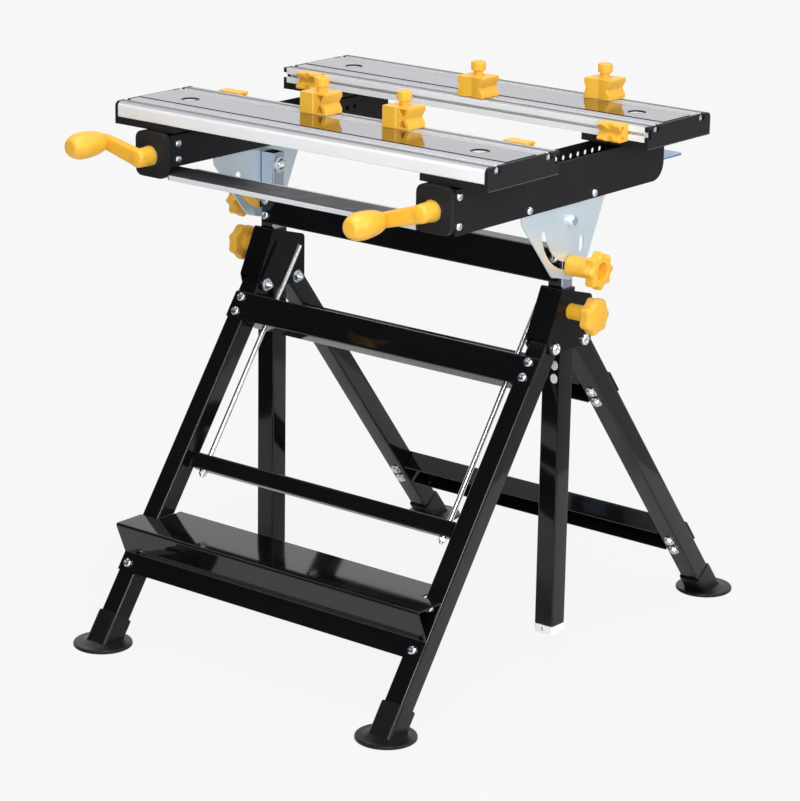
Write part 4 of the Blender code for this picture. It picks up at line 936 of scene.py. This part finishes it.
def build_jaws():
    rim, radius = JAW_TOP + PANEL_RISE, DOG_HOLE_RADIUS
    bore = [(radius, JAW_BOTTOM - 20.0), (radius, JAW_TOP + 20.0)]
    # Black ring at the top of each dog hole: painted shadow on its far wall; the white sleeve below: painted
    # light on its shaded inside
    ring = [(radius - 0.1, rim - SHADE_RING_DEPTH), (radius - 0.1, rim - 0.1), (radius + 0.7, rim + 0.02),
            (radius + 0.4, rim + 0.12), (radius - 0.7, rim - 0.1), (radius - 0.7, rim - SHADE_RING_DEPTH)]
    sleeve_top = rim - SHADE_RING_DEPTH - 0.1
    lit_sleeve = [(radius - 0.1, JAW_BOTTOM), (radius - 0.1, sleeve_top), (radius - 0.8, sleeve_top),
             (radius - 0.8, JAW_BOTTOM)]
    panel = strip(JAW_WIDTH / 2, JAW_WIDTH - 2 * PANEL_EDGE, PANEL_RISE)
    # Near-black strips at both edges of the panel: painted shadow of the gap round it
    gap_shade_at = PANEL_EDGE - GAP_SHADE_WIDTH / 2
    gap_shade_strips = [strip(at, GAP_SHADE_WIDTH, PANEL_RISE - STRIP_RISE) for at in (gap_shade_at, JAW_WIDTH - gap_shade_at)]
    # Dark strips near both long edges of the top: painted shade of a groove
    band_at, band_width = sum(EDGE_SHADE_BAND) / 2, EDGE_SHADE_BAND[1] - EDGE_SHADE_BAND[0]
    bands = [strip(at, band_width) for at in (band_at, JAW_WIDTH - band_at)]
    for name in ("front", "rear"):
        body = name + "_jaw"
        bores = in_dog_holes(name, bore, 64, hollow=False)
        piece(name + "_jaw_form", along_jaw(name, jaw_section()), "aluminium", body, [body], cutters=bores)
        piece(name + "_jaw_panel", along_jaw(name, panel), "panel", body, cutters=bores)
        piece(name + "_panel_gap_shade", along_jaw(name, *gap_shade_strips), "seal", body)
        piece(name + "_edge_shade_bands", along_jaw(name, *bands), "edge_shade_band", body)
        piece(name + "_hole_shade_rings", together(*in_dog_holes(name, ring, 48)), "black_plastic", body)
        piece(name + "_hole_lit_sleeves", together(*in_dog_holes(name, lit_sleeve, 48)), "white_plastic", body)


def build_cap_lips():
    """Lip along the lower edge of each cap's end, in a grey lighter than the cap: a painted highlight on
    that edge.
    """
    for name in ("front", "rear"):
        for side, sign in SIDES:
            low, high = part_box(name + "_cap_" + side)
            end = max(abs(low[0]), abs(high[0])) / MM
            lip = [(end - 0.6, CAP_BOTTOM + 0.2), (end + 0.2, CAP_BOTTOM + 0.2),
                   (end + 0.4, CAP_BOTTOM + 0.5), (end + 0.2, CAP_BOTTOM + 1.3),
                   (end - 0.6, CAP_BOTTOM + 1.5)]
            outline = [(sign * p, q) for p, q in lip]
            shape = prism(outline, low[1] / MM + 1.0, high[1] / MM - 1.0, along_y())
            piece(name + "_cap_lip_" + side, shape, "cap_lip", name + "_jaw")


# Dogs

def node_centre(node):
    low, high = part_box(node)
    return [(a + b) / 2 / MM for a, b in zip(low, high)]


def stepped_plan(half, deep):
    """Plan of a front dog, whose right end is a little narrower."""
    step, back = half - DOG_STEP, deep - 1.6
    return [(-half, -deep), (step, -deep), (step + 0.8, -back), (half, -back), (half, back),
            (step + 0.8, back), (step, deep), (-half, deep)]


def notched_plan(half, deep):
    """Plan of a rear dog, with a shallow V in its front and its back."""
    hollow, opening = 3.8, 10.0
    return [(-half, -deep), (-opening, -deep), (0.0, hollow - deep), (opening, -deep), (half, -deep),
            (half, deep), (opening, deep), (0.0, deep - hollow), (-opening, deep), (-half, deep)]


def dog_groove(sign, depth, half, place):
    """Cutter for the V-groove across one end of a dog."""
    clear, wide = half + 6.0, DOG_GROOVE_HALF
    end = [(half + 0.5, -wide), (half - depth, 0.0), (half + 0.5, wide), (clear, wide), (clear, -wide)]
    x, y, z = place
    return prism([(sign * p, q) for p, q in end], y - DOG_DEPTH, y + DOG_DEPTH, along_y(x, z))


def dog_pocket(up, half, deep, place):
    """Cutter for one of the two core pockets in the face of a front dog."""
    pocket = [(-4.4, 3.4), (-3.6, 4.2), (3.6, 4.2), (4.4, 3.4), (1.2, -3.2), (0.0, -3.9), (-1.2, -3.2)]
    x, y, z = place
    outline = [(half - 9.0 + p, z + up * (5.6 + q)) for p, q in pocket]
    return prism(outline, y - deep - 5.0, y - deep + 9.0, along_y(x))


def fluted(scale):
    """Outline of the grip on top of a dog."""
    return polar(lambda a: scale * (8.5 - 0.35 * (0.5 + 0.5 * math.cos(DOG_FLUTES * a)) ** 2), 108)


def build_upright_dog(name):
    x, y, _ = node_centre(name)
    base = JAW_TOP + SEAT
    top = base + DOG_HEIGHT
    half, deep = DOG_LENGTH / 2, DOG_DEPTH / 2
    middle = (x, y, (base + top) / 2)
    if name.startswith("front"):
        plan = stepped_plan(half, deep)
        cutters = [dog_groove(1, DEEP_GROOVE, half, middle)]
        cutters += [dog_pocket(up, half, deep, middle) for up in (-1, 1)]
    else:
        plan = notched_plan(half, deep)
        cutters = [dog_groove(-1, SHALLOW_GROOVE, half, middle), dog_groove(1, DEEP_GROOVE, half, middle)]
    upright = along_z(x, y)
    piece(name + "_block", prism(plan, base, top, upright), "yellow_plastic", name, [name],
          edge=1.0, segments=3, cutters=cutters)
    stem = lathe([(6.6, top - 1.0), (6.2, top + 0.6), (5.5, top + 1.4), (5.5, top + 5.6), (6.0, top + 6.0)],
                 upright, 40)
    head = loft([(fluted(0.84), top + 5.4), (fluted(0.97), top + 5.9), (fluted(1.0), top + 7.0),
                 (fluted(1.0), top + 14.2), (fluted(0.95), top + 15.4), (circle(7.0, 108), top + 16.0),
                 (circle(5.4, 108), top + 16.0), (circle(4.8, 108), top + 15.2)], upright)
    key_length = 2 * half - 4.0
    key = together(prism(rounded(key_length, 5.4, 0.4), base - 2.6, base + 0.5, upright),
                   prism(rounded(key_length, 10.4, 0.6), JAW_TOP - 7.6, base - 2.5, upright))
    piece(name + "_stem", together(stem, head, key), "yellow_plastic", name)


def build_side_dog(name, jaw):
    x = node_centre(name)[0]
    facing = JAW_FACING[jaw]
    base = JAW_INNER[jaw] - facing * SEAT
    z = (JAW_BOTTOM + JAW_TOP) / 2
    long, half, deep, valley = SIDE_DOG_LENGTH / 2, SIDE_DOG_HEIGHT / 2, SIDE_DOG_DEPTH, 6.0
    section = [(0.0, -half), (deep - 1.5, -half), (deep, -half + 1.5), (deep, -valley - 1.0),
               (deep - 1.0, -valley), (deep - valley, -0.6), (deep - valley, 0.6), (deep - 1.0, valley),
               (deep, valley + 1.0), (deep, half - 1.5), (deep - 1.5, half), (0.0, half)]

    def to_world(p, q, h):
        return Vector((x + h, base - facing * p, z + q))

    def upward(p, q, h):
        return to_world(p, h, q)

    cores = []
    for end in (-1, 1):
        for q in (-5.4, 5.4):
            outline = [(deep * 0.60 + p, q + r) for p, r in circle(2.2, 24)]
            cores.append(prism(outline, end * (long - 4.0), end * (long + 4.0), to_world))
    waist = prism([(deep + 1.0, -7.0), (deep - 3.4, -2.6), (deep - 3.4, 2.6), (deep + 1.0, 7.0)],
                  -half - 1.0, half + 1.0, upward)
    piece(name + "_block", prism(section, -long, long, to_world), "yellow_plastic", name, [name], edge=0.7,
          cutters=cores + [waist])
    key_half = long - 3.0
    neck = [(1.0, -1.4), (-2.6, -1.4), (-2.6, 1.4), (1.0, 1.4)]
    head = [(-2.5, -5.1), (-6.6, -5.1), (-6.6, 5.1), (-2.5, 5.1)]
    key = together(*[prism(outline, -key_half, key_half, to_world) for outline in (neck, head)])
    piece(name + "_key", key, "yellow_plastic", name)


def build_dogs():
    for name in ("front_dog_a", "front_dog_b", "rear_dog_a", "rear_dog_b"):
        build_upright_dog(name)
    for jaw in ("front", "rear"):
        for side, _ in SIDES:
            build_side_dog(jaw + "_side_dog_" + side, jaw)


# Edge rounds of the sheet and tube pieces that keep their CAD form

PAIRED_EDGES = {"post": 0.9, "post_plug": 0.6, "head_bracket": 0.7, "front_leg": 1.1, "rear_leg": 1.1,
                "inner_post": 0.4, "tilt_plate": 0.35, "rail": 0.4, "crank_housing": 0.6, "front_cap": 0.7,
                "rear_cap": 0.7, "latch_lever": 0.5}
SINGLE_EDGES = {"front_crossbar": 0.8, "rear_upper_bar": 0.8, "rear_lower_bar": 0.8, "step_plate": 0.7,
                "column_bar": 0.5, "tie_bar": 0.5}


def dress_nodes():
    for name, edge in SINGLE_EDGES.items():
        dress(name, edge)
    for stem, edge in PAIRED_EDGES.items():
        for side, _ in SIDES:
            dress(stem + "_" + side, edge)


# Stage, light and camera, in metres

FLOOR_RADIUS = 0.85
FLOOR_SIDES = 96
FLOOR_DROP = 0.0005
FADE_START = 0.35
SHADOW_SHARE = 0.05
FLOOR_TONE = (0.86, 0.86, 0.86)
BACKDROP = (0.93, 0.93, 0.93)


def add_floor():
    """Round sheet that shows the backdrop's colour and a share of the shadows on it."""
    mesh = bpy.data.meshes.new("floor")
    outline = circle(FLOOR_RADIUS, FLOOR_SIDES)
    mesh.from_pydata([(p, q, -FLOOR_DROP) for p, q in outline], [], [tuple(range(FLOOR_SIDES))])
    floor = bpy.data.objects.new("floor", mesh)
    bpy.context.scene.collection.objects.link(floor)
    surface = bpy.data.materials.new("floor_paper")
    surface.use_nodes = True
    tree = surface.node_tree
    tree.nodes.clear()
    paper = tree.nodes.new("ShaderNodeBsdfDiffuse")
    paper.inputs["Color"].default_value = (*FLOOR_TONE, 1.0)
    plain = tree.nodes.new("ShaderNodeEmission")
    plain.inputs["Color"].default_value = (*BACKDROP, 1.0)
    path = tree.nodes.new("ShaderNodeLightPath")
    place = tree.nodes.new("ShaderNodeTexCoord")
    reach = tree.nodes.new("ShaderNodeVectorMath")
    reach.operation = "LENGTH"
    tree.links.new(place.outputs["Object"], reach.inputs[0])
    fade = tree.nodes.new("ShaderNodeMapRange")
    fade.interpolation_type = "SMOOTHSTEP"
    fade.inputs["From Min"].default_value = FADE_START
    fade.inputs["From Max"].default_value = 0.95 * FLOOR_RADIUS
    fade.inputs["To Min"].default_value = 1.0 - SHADOW_SHARE
    fade.inputs["To Max"].default_value = 1.0
    tree.links.new(reach.outputs["Value"], fade.inputs["Value"])
    seen = tree.nodes.new("ShaderNodeMath")
    seen.operation = "MULTIPLY"
    tree.links.new(path.outputs["Is Camera Ray"], seen.inputs[0])
    tree.links.new(fade.outputs["Result"], seen.inputs[1])
    mix = tree.nodes.new("ShaderNodeMixShader")
    tree.links.new(seen.outputs["Value"], mix.inputs["Fac"])
    tree.links.new(paper.outputs["BSDF"], mix.inputs[1])
    tree.links.new(plain.outputs["Emission"], mix.inputs[2])
    output = tree.nodes.new("ShaderNodeOutputMaterial")
    tree.links.new(mix.outputs["Shader"], output.inputs["Surface"])
    floor.data.materials.append(surface)


# Dark cards: direction, cosines where the shade starts and is full, and the least share of light
DARK_CARDS = (((-0.64, -0.70, 0.18), 0.50, 0.86, 0.05), ((0.62, 0.74, -0.27), 0.72, 0.93, 0.50))
AMBIENT_STRENGTH = 0.55


def card_shade(tree, place, toward, start, full, least):
    """Share of the studio's light that is left around a dark card, by the ray's direction."""
    side = tree.nodes.new("ShaderNodeVectorMath")
    side.operation = "DOT_PRODUCT"
    side.inputs[1].default_value = Vector(toward).normalized()
    tree.links.new(place.outputs["Generated"], side.inputs[0])
    shade = tree.nodes.new("ShaderNodeMapRange")
    shade.interpolation_type = "SMOOTHSTEP"
    shade.inputs["From Min"].default_value = start
    shade.inputs["From Max"].default_value = full
    shade.inputs["To Min"].default_value = 1.0
    shade.inputs["To Max"].default_value = least
    tree.links.new(side.outputs["Value"], shade.inputs["Value"])
    return shade.outputs["Result"]


def add_world():
    """White studio with dark cards around it; the backdrop is flat to the camera."""
    world = bpy.data.worlds.new("studio")
    bpy.context.scene.world = world
    world.use_nodes = True
    tree = world.node_tree
    tree.nodes.clear()
    path = tree.nodes.new("ShaderNodeLightPath")
    place = tree.nodes.new("ShaderNodeTexCoord")
    light = None
    for card in DARK_CARDS:
        share = card_shade(tree, place, *card)
        if light:
            both = tree.nodes.new("ShaderNodeMath")
            both.operation = "MULTIPLY"
            tree.links.new(light, both.inputs[0])
            tree.links.new(share, both.inputs[1])
            share = both.outputs["Value"]
        light = share
    ambient = tree.nodes.new("ShaderNodeBackground")
    ambient.inputs["Color"].default_value = (1.0, 1.0, 1.0, 1.0)
    ambient.inputs["Strength"].default_value = AMBIENT_STRENGTH
    studio = tree.nodes.new("ShaderNodeBackground")
    tree.links.new(light, studio.inputs["Strength"])
    studio.inputs["Color"].default_value = (1.0, 1.0, 1.0, 1.0)
    backdrop = tree.nodes.new("ShaderNodeBackground")
    backdrop.inputs["Color"].default_value = (*BACKDROP, 1.0)
    mirror = tree.nodes.new("ShaderNodeMath")
    mirror.operation = "MAXIMUM"
    tree.links.new(path.outputs["Is Glossy Ray"], mirror.inputs[0])
    tree.links.new(path.outputs["Is Transmission Ray"], mirror.inputs[1])
    first = tree.nodes.new("ShaderNodeMixShader")
    tree.links.new(mirror.outputs["Value"], first.inputs["Fac"])
    tree.links.new(ambient.outputs["Background"], first.inputs[1])
    tree.links.new(studio.outputs["Background"], first.inputs[2])
    second = tree.nodes.new("ShaderNodeMixShader")
    tree.links.new(path.outputs["Is Camera Ray"], second.inputs["Fac"])
    tree.links.new(first.outputs["Shader"], second.inputs[1])
    tree.links.new(backdrop.outputs["Background"], second.inputs[2])
    output = tree.nodes.new("ShaderNodeOutputWorld")
    tree.links.new(second.outputs["Shader"], output.inputs["Surface"])


LAMP_TARGET = Vector((0.0, 0.0, 0.4))


def add_lamp(name, place, power, size, height=None):
    data = bpy.data.lights.new(name, "AREA")
    data.shape = "ELLIPSE"
    data.size = size
    data.size_y = height or size
    data.energy = power
    lamp = bpy.data.objects.new(name, data)
    lamp.location = place
    lamp.rotation_euler = (LAMP_TARGET - Vector(place)).to_track_quat("-Z", "Y").to_euler()
    bpy.context.scene.collection.objects.link(lamp)


def add_light():
    """Two broad lamps, and a tall narrow one that draws lines on the edges of the tubes."""
    add_lamp("overhead", (0.3, -0.4, 2.6), 30.0, 1.8)
    add_lamp("right_side", (2.2, 0.6, 1.2), 14.0, 1.4)
    add_lamp("front_fill", (1.05, -1.15, 0.95), 12.0, 0.22, 1.1)


CAMERA_PLACE = (2.06492, -2.62071, 1.26026)
CAMERA_YAW = math.radians(38.33139)
CAMERA_PITCH = math.radians(16.45178)
CAMERA_ROLL = math.radians(1.01432)
FOCAL_PIXELS = 3008.73
PRINCIPAL_POINT = (411.42, 392.05)
PHOTO_SIZE = (800.0, 801.0)


def add_camera():
    data = bpy.data.cameras.new("photo_camera")
    camera = bpy.data.objects.new("photo_camera", data)
    longer = max(PHOTO_SIZE)
    data.sensor_width = 36.0
    data.lens = FOCAL_PIXELS * data.sensor_width / longer
    data.shift_x = (PHOTO_SIZE[0] / 2 - PRINCIPAL_POINT[0]) / longer
    data.shift_y = (PRINCIPAL_POINT[1] - PHOTO_SIZE[1] / 2) / longer
    data.clip_end = 50.0
    flat = math.cos(CAMERA_PITCH)
    ahead = Vector((-math.sin(CAMERA_YAW) * flat, math.cos(CAMERA_YAW) * flat, -math.sin(CAMERA_PITCH)))
    level = Vector((math.cos(CAMERA_YAW), math.sin(CAMERA_YAW), 0.0))
    above = level.cross(ahead)
    right = level * math.cos(CAMERA_ROLL) + above * math.sin(CAMERA_ROLL)
    up = above * math.cos(CAMERA_ROLL) - level * math.sin(CAMERA_ROLL)
    turn = Matrix((right, up, -ahead)).transposed().to_4x4()
    camera.matrix_world = Matrix.Translation(CAMERA_PLACE) @ turn
    bpy.context.scene.collection.objects.link(camera)
    bpy.context.scene.camera = camera


dress_nodes()
build_pivots()
build_post_details()
build_feet()
build_leg_fasteners()
build_release()
build_tie_bar_edges()
build_top_fasteners()
build_knobs()
build_spindles()
build_cranks()
build_jaws()
build_cap_lips()
build_dogs()
add_floor()
add_world()
add_light()
add_camera()
bpy.context.scene.view_settings.view_transform = "Standard"
